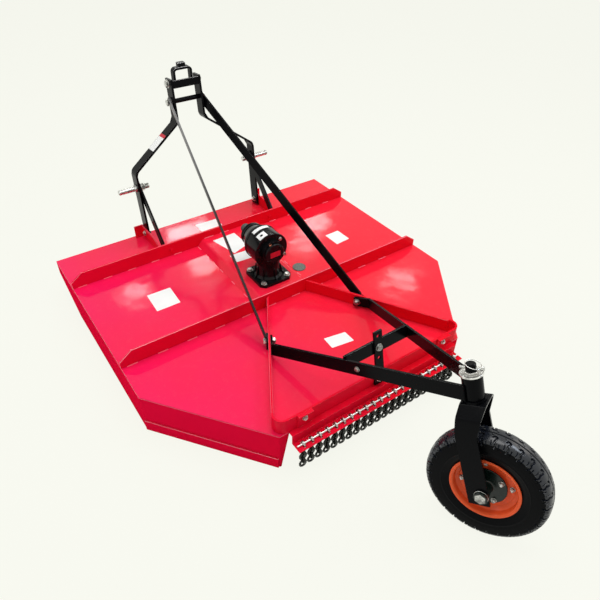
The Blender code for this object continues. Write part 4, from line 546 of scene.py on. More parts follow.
# Lower link pins
# Turned steel studs, zinc plated, with a shoulder against the leg, a nut inside it and a cross
# hole near the end for the linch pin that keeps the tractor's arm on.
PIN_RADIUS, PIN_SHOULDER = 0.0125, 0.0180
INNER_FACE, OUTER_FACE = 0.0415, 0.0615      # of the leg, from the pin's inner end
for name, out in (("lower_pin_left", -1), ("lower_pin_right", 1)):
    point, direction, low, high = cad_axis(name, (out, 0, 0))
    length = high - low
    place = axes(point + direction * low, direction)
    shape = bmesh.new()
    turn(shape, [(0, 0), (PIN_RADIUS - 0.0025, 0), (PIN_RADIUS, 0.0025)]
         + [(PIN_RADIUS - 0.0008 * (k % 2), 0.004 + 0.0011 * k) for k in range(1, 32)]
         + [(PIN_RADIUS, OUTER_FACE), (PIN_SHOULDER, OUTER_FACE),
            (PIN_SHOULDER + 0.0008, OUTER_FACE + 0.0008), (PIN_SHOULDER + 0.0008, OUTER_FACE + 0.009),
            (PIN_SHOULDER, OUTER_FACE + 0.010), (PIN_RADIUS + 0.0006, OUTER_FACE + 0.010),
            (PIN_RADIUS, OUTER_FACE + 0.011), (PIN_RADIUS, length - 0.019),
            (PIN_RADIUS - 0.0012, length - 0.018), (PIN_RADIUS - 0.0012, length - 0.013),
            (PIN_RADIUS, length - 0.012), (PIN_RADIUS, length - 0.004),
            (PIN_RADIUS - 0.0035, length), (0, length)], place, 40)
    washer(shape, PIN_RADIUS, 0.020, INNER_FACE - 0.0025, INNER_FACE, place)
    hexagon(shape, 0.0185, INNER_FACE - 0.0185, INNER_FACE - 0.0028, place)
    add_piece(name + "_zinc", shape, zinc, "frame", [name], crease=30)

# Gearbox
# A cast-iron right-angle gearbox on a square foot, painted black. It is a round drum on a
# column, with a nose for the input shaft and a bolted cover on its rear boss.
cast, given, results = node_group("cast skin", {"Grain": 0.0003}, ["Height", "Tone"])
spot = object_spot(cast)
lumps = speckle(cast, spot, 60.0)
skin = maths(cast, "ADD", speckle(cast, spot, 420.0, 3.0, 0.6), lumps)
feed(cast, results["Height"], maths(cast, "MULTIPLY", skin, given["Grain"]))
feed(cast, results["Tone"], lumps)


def cast_metal(name, colour, deeper, grain, roughness, specular, metallic=0.0):
    """A cast or moulded surface with a sandy skin, drifting between two tones."""
    made, tree, shader = new_material(name)
    surface = place_group(tree, cast, Grain=grain)
    set_shader(tree, shader, blend_colours(tree, surface["Tone"], colour, deeper), surface["Height"],
               Roughness=roughness, Specular_IOR_Level=specular, Metallic=metallic)
    return made


cast_black = cast_metal("cast_black", (0.003, 0.0032, 0.004, 1), (0.008, 0.0075, 0.008, 1), 0.00022,
                        0.15, 0.14)
dressed(["gearbox_housing"], cast_black, "frame", edge=0.0022)
dressed(["gearbox_rear_cover"], cast_black, "frame", edge=0.0010)
SHAFT = Vector((0, 0.36098, 0.352))          # where the two shafts cross
DRUM_RADIUS, DRUM_FRONT, DRUM_REAR = 0.079, 0.057, -0.030
COVER_FACE = -0.0603
LYING = axes(SHAFT, Y, X)                    # its Z runs forwards along the input shaft
# On the casting: a raised rim at each end of the drum, two rings round the nose, and eight thin
# webs that stiffen the column's foot.
shape = bmesh.new()
for low, high, radius in ((DRUM_FRONT - 0.007, DRUM_FRONT + 0.001, DRUM_RADIUS + 0.0016),
                          (DRUM_REAR - 0.0008, DRUM_REAR + 0.007, DRUM_RADIUS + 0.0016),
                          (0.118, 0.126, 0.0545), (0.132, 0.1395, 0.052)):
    turn(shape, [(radius - 0.006, low), (radius - 0.001, low), (radius, low + 0.001),
                 (radius, high - 0.001), (radius - 0.001, high), (radius - 0.006, high)], LYING, 72,
         closed=True)
FOOT_TOP = 0.2185
WEB_OUTLINE = [(0.046, 0.0), (0.074, 0.0), (0.062, 0.014), (0.0555, 0.050), (0.046, 0.055)]
for angle in (0, 35, -35, 90, 145, 180, 215, 270):
    web = bmesh.new()
    web.faces.new([web.verts.new((x, -0.0025, z)) for x, z in WEB_OUTLINE])
    thicken(web, (0, 0.005, 0))
    bevel(web, web.edges[:], 0.001)
    add_shape(shape, web, Matrix.Translation((SHAFT.x, SHAFT.y, FOOT_TOP))
              @ Matrix.Rotation(radians(angle), 4, "Z"))
add_piece("gearbox_ribs", shape, cast_black, "frame")

# Gearbox bolts
# Four zinc bolts hold the foot to the folded plate. Smaller black ones hold the drum's rear flange
# and the cover, three zinc ones stand among them, and a copper-coloured plug closes the filler.
shape = bmesh.new()
for x in (-0.060, 0.060):
    for y in (-0.060, 0.060):
        bolt(shape, axes((x, SHAFT.y + y, FOOT_TOP), -Z), 0.0062, 0.0112, 0.0065, 0.022, 0.006, 0.001)
for x, y, z, depth in ((0.007, -0.0455, 0.0300, 0.006), (0.0665, -0.0310, -0.0410, 0.006),
                       (0.0450, -0.0310, 0.0450, 0.005)):
    place = axes(SHAFT + Vector((x, y, z)), -Y)
    washer(shape, 0.004, 0.0085, 0, 0.0015, place)
    hexagon(shape, 0.0068, 0.0015, 0.0015 + depth, place)
add_piece("gearbox_bolts", shape, zinc, "frame", crease=30)
shape = bmesh.new()
# (bolts, degrees between them, first angle, ring's radius, face, hexagon's radius, its height);
# a zinc bolt stands in the flange's eighth place
for count, pitch, first, radius, face, size, top in (
        (7, 45, 22.5, 0.067, DRUM_REAR, 0.0062, 0.0045), (4, 90, 45, 0.036, COVER_FACE, 0.0052, 0.0035)):
    for k in range(count):
        angle = radians(first + pitch * k)
        place = axes(LYING @ Vector((radius * cos(angle), radius * sin(angle), face)), -Y)
        hexagon(shape, size, -0.001, top, place)
add_piece("gearbox_flange_bolts", shape, cast_black, "frame", crease=30)
copper = cast_metal("copper_plug", (0.52, 0.16, 0.08, 1), (0.38, 0.10, 0.05, 1), 0.00005, 0.35, 0.5, 1.0)
shape = bmesh.new()
plug_place = axes(SHAFT + Vector((-0.015, -0.0440, 0.0410)), Vector((0, -0.8, 0.6)))
washer(shape, 0.002, 0.0100, -0.002, 0.001, plug_place)
hexagon(shape, 0.0078, 0.001, 0.0075, plug_place)
add_piece("gearbox_plug", shape, copper, "frame", crease=30)

# Gearbox labels
# Blank vinyl labels bent round the drum, a small dark square on one of them, and a blank red one
# on the rear cover.
red_vinyl = paint("red_vinyl", (0.62, 0.012, 0.035, 1), (0.50, 0.008, 0.022, 1), (0.6, 0.2, 0.2, 1),
                  waves=0.0, specular=0.3, roughness=0.4)
DRUM_LABELS = [
    # (name, material, lift off the drum, first and last angle from the right, rear and front edge)
    ("drum_label_front", vinyl, 0.00195, 68, 125, 0.030, 0.0485),
    ("drum_label_square", vinyl, 0.0004, 97, 127, -0.0225, 0.013),
    ("drum_label_mark", cast_black, 0.0008, 108, 117, -0.009, 0.001),
]
# the labels are made round Z, and this map lays their Z along the shaft
LAID = Matrix.Translation(SHAFT) @ Matrix(((1, 0, 0, 0), (0, 0, 1, 0), (0, 1, 0, 0), (0, 0, 0, 1)))
for label, material, lift, first, last, rear, ahead in DRUM_LABELS:
    shape = bmesh.new()
    radius, angle = DRUM_RADIUS + lift, radians(first)
    line = [shape.verts.new((radius * cos(angle), radius * sin(angle), y)) for y in (rear, ahead)]
    edge = shape.edges.new(line)
    bmesh.ops.spin(shape, geom=line + [edge], cent=(0, 0, 0), axis=(0, 0, 1),
                   angle=radians(last - first), steps=16)
    bmesh.ops.recalc_face_normals(shape, faces=shape.faces)
    if shape.faces[:][0].normal.dot(shape.faces[:][0].calc_center_median()) < 0:
        bmesh.ops.reverse_faces(shape, faces=shape.faces)
    bmesh.ops.solidify(shape, geom=shape.faces[:], thickness=0.0004)
    bmesh.ops.transform(shape, matrix=LAID, verts=shape.verts)
    bmesh.ops.recalc_face_normals(shape, faces=shape.faces)
    add_piece(label, shape, material, "frame")


def plate(width, height, thickness, corner):
    """A thin rounded rectangle on XY, its back at z = 0."""
    part = bmesh.new()
    bmesh.ops.create_grid(part, x_segments=1, y_segments=1, size=0.5)
    bmesh.ops.scale(part, vec=(width, height, 1), verts=part.verts)
    bevel(part, part.verts[:], corner, 4, "VERTICES")
    thicken(part, (0, 0, thickness))
    return part


shape = bmesh.new()
add_shape(shape, plate(0.050, 0.026, 0.0005, 0.003),
          axes(SHAFT + Vector((0.002, COVER_FACE - 0.0001, -0.003)), -Y, X))
add_piece("cover_label", shape, red_vinyl, "frame")

# Shaft cap
# A grey plastic cap pushed over the splined input shaft, with fine grip ribs round it.
plastic = paint("grey_plastic", (0.075, 0.080, 0.078, 1), (0.050, 0.055, 0.053, 1),
                (0.20, 0.20, 0.19, 1), peel=0.00003, waves=0.0, specular=0.4, roughness=0.42, dust=0.3)
CAP_RADIUS, CAP_LENGTH = 0.0212, 0.060
low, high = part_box("input_shaft")
shape = bmesh.new()
place = axes(Vector((0, low.y, SHAFT.z)), Y, X)
total = high.y - low.y
mouth = total - CAP_LENGTH
turn(shape, [(0, 0.002), (0.0175, 0.002), (0.0175, mouth + 0.012), (CAP_RADIUS + 0.0012, mouth + 0.013),
             (CAP_RADIUS + 0.0012, mouth + 0.018), (CAP_RADIUS, mouth + 0.020),
             (CAP_RADIUS - 0.0004, total - 0.004), (CAP_RADIUS - 0.003, total - 0.0008),
             (CAP_RADIUS - 0.006, total), (0, total)], place, 72)
# every second line of points along the cap is drawn in, which leaves the ribs standing
for vert in shape.verts:
    local = place.inverted() @ vert.co
    if abs(local.xy.length - CAP_RADIUS) < 0.0007 and round(degrees(atan2(local.y, local.x)) / 5) % 2:
        local.xy *= 0.965
        vert.co = place @ local
add_piece("shaft_cap", shape, plastic, "input", ["input_shaft"])

# Access plug
# A domed plastic plug pressed into the deck beside the gearbox, speckled with overspray.
speckled, tree, shader = new_material("speckled_plastic")
specks = remap(tree, speckle(tree, object_spot(tree), 700.0), 0.46, 0.60)
set_shader(tree, shader, blend_colours(tree, specks, (0.045, 0.060, 0.050, 1), (0.20, 0.23, 0.20, 1)),
           specks, 0.0002, Roughness=0.55)
low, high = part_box("access_disc")
shape = bmesh.new()
turn(shape, [(0, 0.0048), (0.010, 0.0047), (0.022, 0.0042), (0.0265, 0.0034), (0.0275, 0.0024),
             (0.0285, 0.0034), (0.0302, 0.0032), (0.0310, 0.0020), (0.0310, 0.0003), (0, 0.0003)],
     Matrix.Translation(((low.x + high.x) / 2, (low.y + high.y) / 2, DECK_TOP)), 64)
add_piece("access_plug", shape, speckled, "frame", ["access_disc"])

# Mast label
# A blank white vinyl label with a red end band, stuck across the left mast arm's sloping face.
LEAN = Vector((0, sin(radians(4.8)), cos(radians(4.8))))
ACROSS = Vector((0, cos(radians(4.8)), -sin(radians(4.8))))


def on_mast(x, z):
    """A point in the leaning plane of the mast's middle, at a height over the floor."""
    return at(x, -0.056, 0.178) + LEAN * ((z - 0.178) / LEAN.z)


lower, upper = on_mast(-0.3115, 0.518), on_mast(-0.068, 0.702)
run = (upper - lower).normalized()
outward = ACROSS.cross(run).normalized()
outward = outward if outward.x < 0 else -outward
for label, material, first, last in (("mast_label", vinyl, 0.130, 0.2065),
                                     ("mast_label_band", red_vinyl, 0.2065, 0.2225)):
    shape = bmesh.new()
    place = axes(lower + run * (first + last) / 2 + outward * 0.0050, outward, run)
    add_shape(shape, plate(last - first, 0.054, 0.0004, 0.001), place)
    add_piece(label, shape, material, "frame")

# Rotor
# Below the deck: the output hub, a flat steel carrier bar and two free-swinging blades, under a
# thin black paint that shows the steel's skin.
rotor_black = paint("rotor_black", (0.012, 0.012, 0.013, 1), (0.022, 0.021, 0.020, 1),
                    (0.09, 0.08, 0.07, 1), peel=0.00004, waves=0.0002, wave_scale=30.0, specular=0.3,
                    roughness=0.42, dust=0.2)
dressed(["output_hub", "blade_carrier"], rotor_black, "rotor", edge=0.0012)
for blade in ("blade_1", "blade_2"):
    dressed([blade], rotor_black, "swing_" + blade, edge=0.0010, bend=0.006)

# Rim
# A pressed steel rim, sprayed glossy orange: a curled lip, a deep well and a dished disc. Its
# section is given as (radius, place along the axle) all the way round.
AXLE = Vector(joints["wheel_spin"]["pos_m"])
AXLE_DIRECTION = Vector(joints["wheel_spin"]["axis"]).normalized()
WHEEL = axes(AXLE, AXLE_DIRECTION, Z)      # its Z runs along the axle to the wheel's right
orange = paint("orange_enamel", (0.95, 0.130, 0.034, 1), (0.90, 0.100, 0.024, 1), (0.90, 0.40, 0.26, 1),
               peel=0.00002, waves=0.0004, wave_scale=30.0, specular=0.16, roughness=0.16)
shape = bmesh.new()
RIM_SECTION = [
    (0.1000, -0.0346), (0.1050, -0.0346), (0.1068, -0.0336), (0.1082, -0.0348), (0.1088, -0.0368),
    (0.1078, -0.0384), (0.1052, -0.0388), (0.1010, -0.0378), (0.0978, -0.0350), (0.0966, -0.0300),
    (0.0962, -0.0200), (0.0948, -0.0170), (0.0862, -0.0122), (0.0845, -0.0100), (0.0820, -0.0086),
    (0.0640, -0.0086), (0.0600, -0.0100), (0.0520, -0.0150), (0.0490, -0.0160), (0.0213, -0.0160),
    (0.0213, -0.0120), (0.0500, -0.0120), (0.0620, -0.0048), (0.0845, -0.0045), (0.0850, 0.0110),
    (0.0962, 0.0180), (0.0964, 0.0300), (0.0978, 0.0350), (0.1010, 0.0378), (0.1052, 0.0388),
    (0.1078, 0.0384), (0.1088, 0.0368), (0.1082, 0.0348), (0.1068, 0.0336), (0.1050, 0.0346),
    (0.1000, 0.0346), (0.0995, 0.0340), (0.0993, 0.0165), (0.0880, 0.0100), (0.0880, -0.0100),
    (0.0993, -0.0165), (0.0995, -0.0340),
]
turn(shape, RIM_SECTION, WHEEL, 120, closed=True)
add_piece("rim_pressed", shape, orange, "wheel", ["rim"], crease=50)

# Wheel hub
# A welded steel hub, painted dark green-black: its flange is bolted to the rim's disc, and a
# second ring of small bolts holds the rim's two halves together.
hub_paint = paint("hub_enamel", (0.004, 0.012, 0.009, 1), (0.003, 0.007, 0.005, 1),
                  (0.06, 0.07, 0.06, 1), peel=0.00003, waves=0.0002, wave_scale=40.0, specular=0.35,
                  roughness=0.22)
FLANGE_RADIUS = 0.064
shape = bmesh.new()
for side in (-1, 1):
    face = -0.0165 if side < 0 else -0.0040
    place = WHEEL @ Matrix.Translation((0, 0, face)) @ Matrix.Scale(-1 if side < 0 else 1, 4, Z)
    end = 0.0500 + face * side
    turn(shape, [(0.0105, 0), (FLANGE_RADIUS - 0.001, 0), (FLANGE_RADIUS, 0.001),
                 (FLANGE_RADIUS, 0.0045), (FLANGE_RADIUS - 0.001, 0.0055), (0.0270, 0.0055),
                 (0.0235, 0.0075), (0.0215, 0.0120), (0.0210, end - 0.001), (0.0200, end),
                 (0.0105, end)], place, 72, closed=True)
bmesh.ops.recalc_face_normals(shape, faces=shape.faces)
add_piece("hub_welded", shape, hub_paint, "wheel", ["wheel_hub"])
shape = bmesh.new()
for k in range(4):
    for radius, first, face, size in ((0.0530, 137, -0.0220, 0.0072), (0.0765, 163, -0.0086, 0.0068)):
        angle = radians(first + 90 * k)
        # angles run as the wheel shows them from its left, from the front over the top
        spoke = Vector((sin(angle), -cos(angle), 0)) * radius
        place = WHEEL @ Matrix.Translation((spoke.x, spoke.y, face)) @ Matrix.Rotation(pi, 4, "X")
        washer(shape, size * 0.4, size * 1.2, 0, 0.0016, place)
        hexagon(shape, size, 0.0016, 0.0080, place)
        turn(shape, thread(size * 0.6, 0.0070, 0.0120), place, 20)
add_piece("hub_bolts", shape, zinc, "wheel", crease=30)

# Tyre
# A 380 mm pneumatic tyre: smooth black sidewalls with two moulded rings, and thirty hook-shaped
# blocks a side, cut by grooves moulded into the round of the tread.
TREAD_PITCHES = 30
STEPS = TREAD_PITCHES * 24
# the section from the crown to the bead, as (half width, radius)
knots = np.array([(0.0, 0.1900), (0.010, 0.1898), (0.020, 0.1886), (0.0285, 0.1860), (0.0350, 0.1818),
                  (0.0392, 0.1755), (0.0415, 0.1670), (0.0426, 0.1560), (0.0426, 0.1440),
                  (0.0415, 0.1320), (0.0392, 0.1220), (0.0362, 0.1140), (0.0347, 0.1095),
                  (0.0345, 0.1040), (0.0343, 0.1002)])
lengths = np.concatenate([[0], np.cumsum(np.hypot(*np.diff(knots, axis=0).T))])
TREAD_EDGE = 0.050
SECTION_CENTRE = 0.140       # radius at which the tyre's section has its middle
samples = np.concatenate([np.arange(0, TREAD_EDGE, 0.00115),
                          np.arange(TREAD_EDGE, lengths[-1], 0.0030), [lengths[-1]]])


def smooth_curve(where, column):
    """Catmull-Rom through the side's knots, read by the length along them."""
    spans = np.clip(np.searchsorted(lengths, where, side="right") - 1, 0, len(lengths) - 2)
    t = (where - lengths[spans]) / (lengths[spans + 1] - lengths[spans])
    values = knots[:, column]
    before = values[np.maximum(spans - 1, 0)]
    if column == 0:
        before = np.where(spans == 0, -values[1], before)    # the other side of the crown
    first, second = values[spans], values[spans + 1]
    after = values[np.minimum(spans + 2, len(values) - 1)]
    return 0.5 * (2 * first + (second - before) * t
                  + (2 * before - 5 * first + 4 * second - after) * t ** 2
                  + (3 * first - before - 3 * second + after) * t ** 3)


half_width, radius_at = smooth_curve(samples, 0), smooth_curve(samples, 1)
profile = [(radius, -half) for half, radius in zip(half_width[::-1], radius_at[::-1])]
profile += [(radius, half) for half, radius in zip(half_width[1:], radius_at[1:])]
shape = bmesh.new()
turn(shape, profile, Matrix.Identity(4), STEPS, closed=True)
# the mesh is read in wheel coordinates: how far each point lies across the tread and round it
mesh = bpy.data.meshes.new("tyre_moulded")
shape.to_mesh(mesh)
shape.free()
co = np.zeros(len(mesh.vertices) * 3)
mesh.vertices.foreach_get("co", co)
co = co.reshape(-1, 3)
radius = np.hypot(co[:, 0], co[:, 1])
around = np.arctan2(co[:, 1], co[:, 0])
lean = np.arctan2(np.abs(co[:, 2]), radius - SECTION_CENTRE)
across = np.interp(lean, np.arctan2(half_width, radius_at - SECTION_CENTRE), samples)
across *= np.where(co[:, 2] < 0, -1, 1)
tangent_a, tangent_r = np.gradient(half_width, samples), np.gradient(radius_at, samples)
out_a, out_r = -tangent_r, tangent_a
out_a, out_r = np.interp(np.abs(across), samples, out_a), np.interp(np.abs(across), samples, out_r)


def groove(distance, half, depth, wall=0.0009):
    """Depth of a groove by the distance from its centre line."""
    return depth * np.clip((half + wall - distance) / wall, 0, 1)


def to_line(px, py, ax, ay, bx, by):
    """Distance from points to a straight piece of a groove's centre line."""
    dx, dy = bx - ax, by - ay
    t = np.clip(((px - ax) * dx + (py - ay) * dy) / (dx * dx + dy * dy), 0, 1)
    return np.hypot(px - ax - t * dx, py - ay - t * dy)


TYRE_RADIUS = 0.190
PITCH = 2 * pi * TYRE_RADIUS / TREAD_PITCHES
# centre lines of the grooves of one pitch, as (distance round the tyre, distance from the crown)
HOOK = [(0.000, 0.0520), (-0.002, 0.0400), (0.003, 0.0320), (0.000, 0.0240), (-0.0015, 0.0175),
        (0.002, 0.0135), (0.0075, 0.0140), (0.0105, 0.0185)]
SIPES = [((0.0125, 0.0300), (0.0110, 0.0460)), ((-0.0125, 0.0380), (-0.0135, 0.0520)),
         ((0.0125, 0.0100), (0.0190, 0.0070))]
depth = np.zeros(len(co))
for side in (-1, 1):
    mine = (across * side) > 0
    lateral = np.abs(across[mine])
    shift = 0.0 if side < 0 else PITCH / 2
    lie = (around[mine] * TYRE_RADIUS * side + shift + 10 * PITCH) % PITCH - PITCH / 2
    cut = groove(np.abs(lateral - 0.0012), 0.0009, 0.0030)
    for copy in (-PITCH, 0, PITCH):
        for (ax, ay), (bx, by) in zip(HOOK, HOOK[1:]):
            cut = np.maximum(cut, groove(to_line(lie - copy, lateral, ax, ay, bx, by), 0.0021, 0.0062))
        for (ax, ay), (bx, by) in SIPES:
            cut = np.maximum(cut, groove(to_line(lie - copy, lateral, ax, ay, bx, by), 0.0007, 0.0030))
    # below the blocks the sidewall is set back, with two raised rings
    cut = np.maximum(cut, 0.0010 * np.clip((lateral - 0.0530) / 0.0012, 0, 1))
    for ring, half, rise in ((0.0600, 0.0007, 0.0009), (0.0860, 0.0012, 0.0010)):
        cut -= rise * np.clip((half + 0.0008 - np.abs(lateral - ring)) / 0.0008, 0, 1)
    depth[mine] = cut
unit = np.stack([co[:, 0] / radius, co[:, 1] / radius], axis=1)
co[:, :2] -= unit * (out_r * depth)[:, None]
co[:, 2] -= np.where(co[:, 2] < 0, -1, 1) * out_a * depth
mesh.vertices.foreach_set("co", co.ravel())
shape = bmesh.new()
shape.from_mesh(mesh)
bpy.data.meshes.remove(mesh)
bmesh.ops.transform(shape, matrix=WHEEL, verts=shape.verts)
wall_rubber = cast_metal("tyre_wall", (0.0022, 0.0023, 0.0028, 1), (0.0036, 0.0037, 0.0044, 1),
                         0.00008, 0.34, 0.05)
# the tread's rubber is a lighter, bluish-grey copy of the wall's black: a painted highlight of the light
# on the tread
tread_rubber_painted_highlight = cast_metal("tyre_tread_painted_highlight", (0.0140, 0.0170, 0.0260, 1), (0.0050, 0.0060, 0.0090, 1),
                          0.00010, 0.24, 0.50)
tread_reach = np.interp(0.046, samples, half_width)
for face in shape.faces:
    middle = WHEEL.inverted() @ face.calc_center_median()
    face.material_index = int(abs(middle.z) < tread_reach and middle.xy.length > 0.165)
tyre = add_piece("tyre_moulded", shape, wall_rubber, "wheel", ["tyre"], crease=38)
tyre.data.materials.append(tread_rubber_painted_highlight)

# Axle
# A long zinc bolt through both fork legs and the hub, with washers under its head and nut.
point, direction, low, high = cad_axis("axle", AXLE_DIRECTION)
shape = bmesh.new()
place = axes(point + direction * (low + 0.012), direction)
bolt(shape, place, 0.0098, 0.0180, 0.011, high - low - 0.030, 0.013, 0.003, plate=0.0025)
turn(shape, [(0, 0), (0.0098, 0), (0.0098, high - low - 0.030), (0, high - low - 0.030)], place, 32)
add_piece("axle_zinc", shape, zinc, "caster", ["axle"], crease=30)

# Swivel washer and collar
# A wide, bright zinc washer on the barrel and a smaller hexagonal collar over it, in the plating's
# lighter copy, whose extra brightness is a painted highlight.
point, direction, low, high = cad_axis("spindle_washer", SWIVEL_AXIS)
shape = bmesh.new()
place = axes(point + direction * low, direction)
washer(shape, 0.0163, 0.035, 0, 0.0055, place)
collar = bmesh.new()
bmesh.ops.create_cone(collar, segments=6, radius1=0.0215, radius2=0.0215, depth=0.006, cap_ends=True)
bmesh.ops.translate(collar, vec=(0, 0, 0.0086), verts=collar.verts)
bevel(collar, collar.edges[:], 0.0012)
add_shape(shape, collar, place @ Matrix.Rotation(radians(12), 4, "Z"))
add_piece("swivel_washer", shape, zinc_painted_lighter, "caster", ["spindle_washer"], crease=30)

# Linch pin
# A zinc pin through the spindle's top, with a flattened head and a wire ring that folds over the
# spindle to lock it.
PIN_LINE = Vector((-0.41787, 0.83935, -0.34767)).normalized()
point, direction, low, high = cad_axis("linch_pin", PIN_LINE)
shape = bmesh.new()
place = axes(point + direction * low, direction)
turn(shape, [(0, -0.008), (0.0062, -0.008), (0.0072, -0.0068), (0.0072, 0.0015), (0.0060, 0.0030),
             (0.0040, 0.0035), (0.0040, high - low - 0.0015), (0.0026, high - low), (0, high - low)],
     place, 32)
ring = bmesh.new()
bmesh.ops.create_circle(ring, radius=0.0011, segments=8, matrix=Matrix.Translation((0.0235, 0, 0))
                        @ Matrix.Rotation(pi / 2, 4, "X"))
bmesh.ops.spin(ring, geom=ring.verts[:] + ring.edges[:], cent=(0, 0, 0), axis=(0, 0, 1),
               angle=2 * pi, steps=48, use_merge=True)
bmesh.ops.recalc_face_normals(ring, faces=ring.faces)
add_shape(shape, ring, axes(point + direction * (low + 0.022) + SWIVEL_AXIS * 0.0115,
                            SWIVEL_AXIS - direction * 0.35))
add_piece("linch_pin_zinc", shape, zinc, "caster", ["linch_pin"], crease=30)

# Chain guard
# Short welded chains that hang side by side through the slots of the rail, from a bright zinc rod
# that lies along its shelf; the rod is drawn in the plating's lighter copy, a painted highlight.
# The chains are dark oiled steel, mottled with lighter grey-green patches that are painted glints.
# dark oiled steel whose lighter grey-green patches are painted glints
oiled = cast_metal("oiled_steel_painted_glints", (0.010, 0.011, 0.010, 1), (0.050, 0.054, 0.046, 1), 0.0001, 0.26,
                   0.3, 0.5)
CHAINS, CHAIN_STEP, LINKS = 22, 0.0345, 6
WIRE, LINK_LENGTH, LINK_WIDTH, TOP_LINK_WIDTH = 0.0044, 0.038, 0.0335, 0.026
LINK_SEAT = 0.0005           # how far each link is pressed into the one above
SHELF, ROD_RADIUS = 0.0043, 0.004            # the rod's seat over the rail's lower face
low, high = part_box("chain_curtain")
rod_y = (low.y + high.y) / 2
rod_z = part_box("chain_rail")[0].z + SHELF + ROD_RADIUS
shape = bmesh.new()
half_rod = -low.x
turn(shape, [(0, -half_rod), (ROD_RADIUS - 0.0008, -half_rod), (ROD_RADIUS, -half_rod + 0.0008),
             (ROD_RADIUS, half_rod - 0.0008), (ROD_RADIUS - 0.0008, half_rod), (0, half_rod)],
     axes((0, rod_y, rod_z), X), 24)
# the rod is drawn in the plating's lighter copy, a painted highlight
add_piece("chain_rod", shape, zinc_painted_lighter, "frame")
top_links, shape = bmesh.new(), bmesh.new()
drop = LINK_LENGTH - 4 * WIRE + LINK_SEAT
for k in range(CHAINS):
    x = -CHAIN_STEP * (CHAINS - 1) / 2 + CHAIN_STEP * k
    sway = noise.noise(Vector((x * 40, 0.3, 0.7))) * 0.06
    for j in range(LINKS):
        # the top link is the narrow one that fits its slot in the rail
        width = LINK_WIDTH if j else TOP_LINK_WIDTH
        straight = (LINK_LENGTH - width) / 2
        link = bmesh.new()
        bmesh.ops.create_circle(link, radius=WIRE, segments=6, matrix=Matrix.Rotation(-pi / 12, 4, "Y")
                                @ Matrix.Translation((width / 2 - WIRE, 0, 0)))
        bmesh.ops.spin(link, geom=link.verts[:] + link.edges[:], cent=(0, 0, 0), axis=(0, 1, 0),
                       angle=2 * pi, steps=12, use_merge=True)
        for vert in link.verts:
            vert.co.z += straight if vert.co.z > 0 else -straight
        bmesh.ops.recalc_face_normals(link, faces=link.faces)
        twist = pi / 2 * ((j + 1) % 2) + sway * (1 if j else 0.3)
        middle = rod_z + ROD_RADIUS + 2 * WIRE - LINK_SEAT - LINK_LENGTH / 2 - j * drop
        add_shape(shape if j else top_links, link,
                  Matrix.Translation((x, rod_y, middle)) @ Matrix.Rotation(twist, 4, "Z"))
add_piece("chain_top_links", top_links, zinc, "frame", crease=60)
add_piece("hanging_chains", shape, oiled, "frame", ["chain_curtain"], crease=60)

# Studio
# A plain pale floor, large soft lamps over and beside the mower, and the photograph's camera.
PALE = (0.939, 0.947, 0.871, 1)


def seen_directly(tree):
    """1 for rays from the camera and for those that it sees mirrored or through glass."""
    rays = node(tree, "LightPath").outputs
    seen = maths(tree, "MAXIMUM", rays["Is Camera Ray"], rays["Is Glossy Ray"])
    return maths(tree, "MAXIMUM", seen, rays["Is Transmission Ray"])


floor_shape = bmesh.new()
bmesh.ops.create_grid(floor_shape, x_segments=1, y_segments=1, size=30.0,
                      matrix=Matrix.Translation((0, 0, -0.0004)))
floor_mesh = bpy.data.meshes.new("floor")
floor_shape.to_mesh(floor_mesh)
floor_shape.free()
floor_paper, tree, shader = new_material("floor_paper")
grain = speckle(tree, object_spot(tree), 3.0)
set_shader(tree, shader, blend_colours(tree, grain, PALE, (0.935, 0.943, 0.866, 1)), Roughness=0.9,
           Specular_IOR_Level=0.0)
glow = node(tree, "Emission", {"Color": PALE, "Strength": 1.0}).outputs[0]
share = maths(tree, "MULTIPLY", seen_directly(tree), 0.95)
paper = node(tree, "MixShader", {0: share, 1: shader.outputs[0], 2: glow}).outputs[0]
# seen from below, the floor lets the view through
below = node(tree, "NewGeometry").outputs["Backfacing"]
one_sided = node(tree, "MixShader", {0: below, 1: paper, 2: node(tree, "BsdfTransparent").outputs[0]})
tree.links.new(one_sided.outputs[0], tree.nodes["Material Output"].inputs["Surface"])
floor_mesh.materials.append(floor_paper)
floor = bpy.data.objects.new("floor", floor_mesh)
scene.collection.objects.link(floor)

world = bpy.data.worlds.new("studio")
scene.world = world
world.use_nodes = True
tree = world.node_tree
ambient = node(tree, "Background", {"Color": (0.94, 0.96, 1.0, 1), "Strength": 0.42}).outputs[0]
backdrop = node(tree, "Background", {"Color": PALE, "Strength": 0.985}).outputs[0]
mixed = node(tree, "MixShader", {0: seen_directly(tree), 1: ambient, 2: backdrop})
tree.links.new(mixed.outputs[0], tree.nodes["World Output"].inputs["Surface"])


def softbox(name, place, target, width, height, power, colour=(1, 1, 1)):
    lamp = bpy.data.lights.new(name, "AREA")
    lamp.shape = "RECTANGLE"
    lamp.size, lamp.size_y, lamp.energy, lamp.color = width, height, power, colour
    made = bpy.data.objects.new(name, lamp)
    made.location = place
    made.rotation_euler = (Vector(target) - Vector(place)).to_track_quat("-Z", "Y").to_euler()
    scene.collection.objects.link(made)


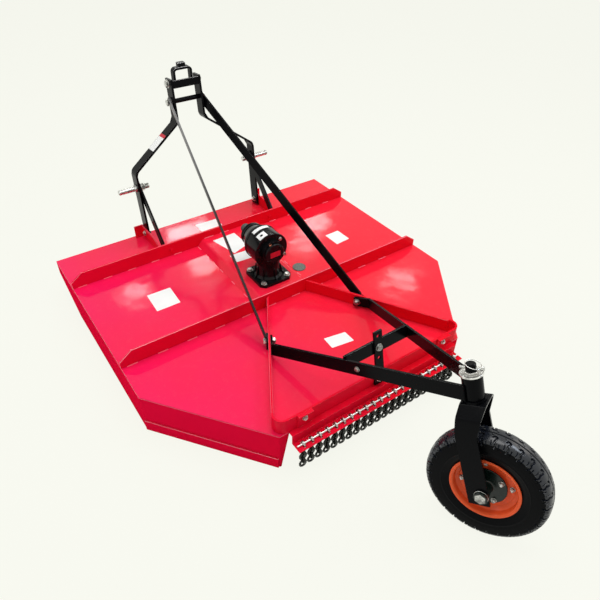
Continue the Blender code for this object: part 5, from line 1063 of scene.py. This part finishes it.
softbox("overhead", (0.2, 0.5, 4.0), (0, 0, 0), 3.0, 3.0, 105)
softbox("left_fill", (-3.2, 0.6, 1.6), (0, 0, 0.2), 1.6, 1.6, 14, (0.86, 0.90, 1.0))
softbox("right_fill", (3.0, -0.8, 1.8), (0, 0, 0.2), 1.4, 1.4, 12, (1.0, 0.92, 0.84))
softbox("tread_light", (1.50, -1.10, 2.31), (0.03, -0.92, 0.37), 0.9, 0.5, 16, (0.80, 0.88, 1.0))

camera_data = bpy.data.cameras.new("photo_camera")
camera_data.sensor_width = 36.0
camera_data.lens = 33.12
HEADING, DOWN, ROLL = radians(35.216), radians(39.499), radians(0.731)
level = Vector((cos(HEADING), -sin(HEADING), 0))
forward = Vector((sin(HEADING) * cos(DOWN), cos(HEADING) * cos(DOWN), -sin(DOWN)))
upward = level.cross(forward)
right = level * cos(ROLL) + upward * sin(ROLL)
top = upward * cos(ROLL) - level * sin(ROLL)
camera = bpy.data.objects.new("photo_camera", camera_data)
camera_place = Vector((-1.02847, -1.34457, 1.69660))
camera.matrix_world = (Matrix.Translation(camera_place)
                       @ Matrix((right, top, -forward)).transposed().to_4x4())
scene.collection.objects.link(camera)
scene.camera = camera
scene.view_settings.view_transform = "Standard"

# Narrow ceiling lamps whose reflections lie on the deck as soft pale patches. Each stands where the
# deck mirrors it towards the camera from one point.
LAMP_RISE = 2.6              # height over the deck
for letter, x, y, width, height, power in (
        ("a", -0.52, -0.42, 0.34, 0.12, 2.2), ("b", 0.46, -0.40, 0.40, 0.16, 3.2),
        ("c", 0.50, -1.02, 0.40, 0.12, 2.6), ("d", -0.20, -0.42, 0.30, 0.14, 2.2),
        ("e", -0.14, -0.13, 0.50, 0.30, 8.0), ("f", 0.30, -0.52, 0.30, 0.10, 1.6)):
    mirrored_at = at(x, y, DECK_TOP)
    ray = mirrored_at - camera_place
    ray.z = -ray.z
    place = mirrored_at + ray * (LAMP_RISE / ray.z)
    softbox("ceiling_lamp_" + letter, place, mirrored_at, width, height, power)
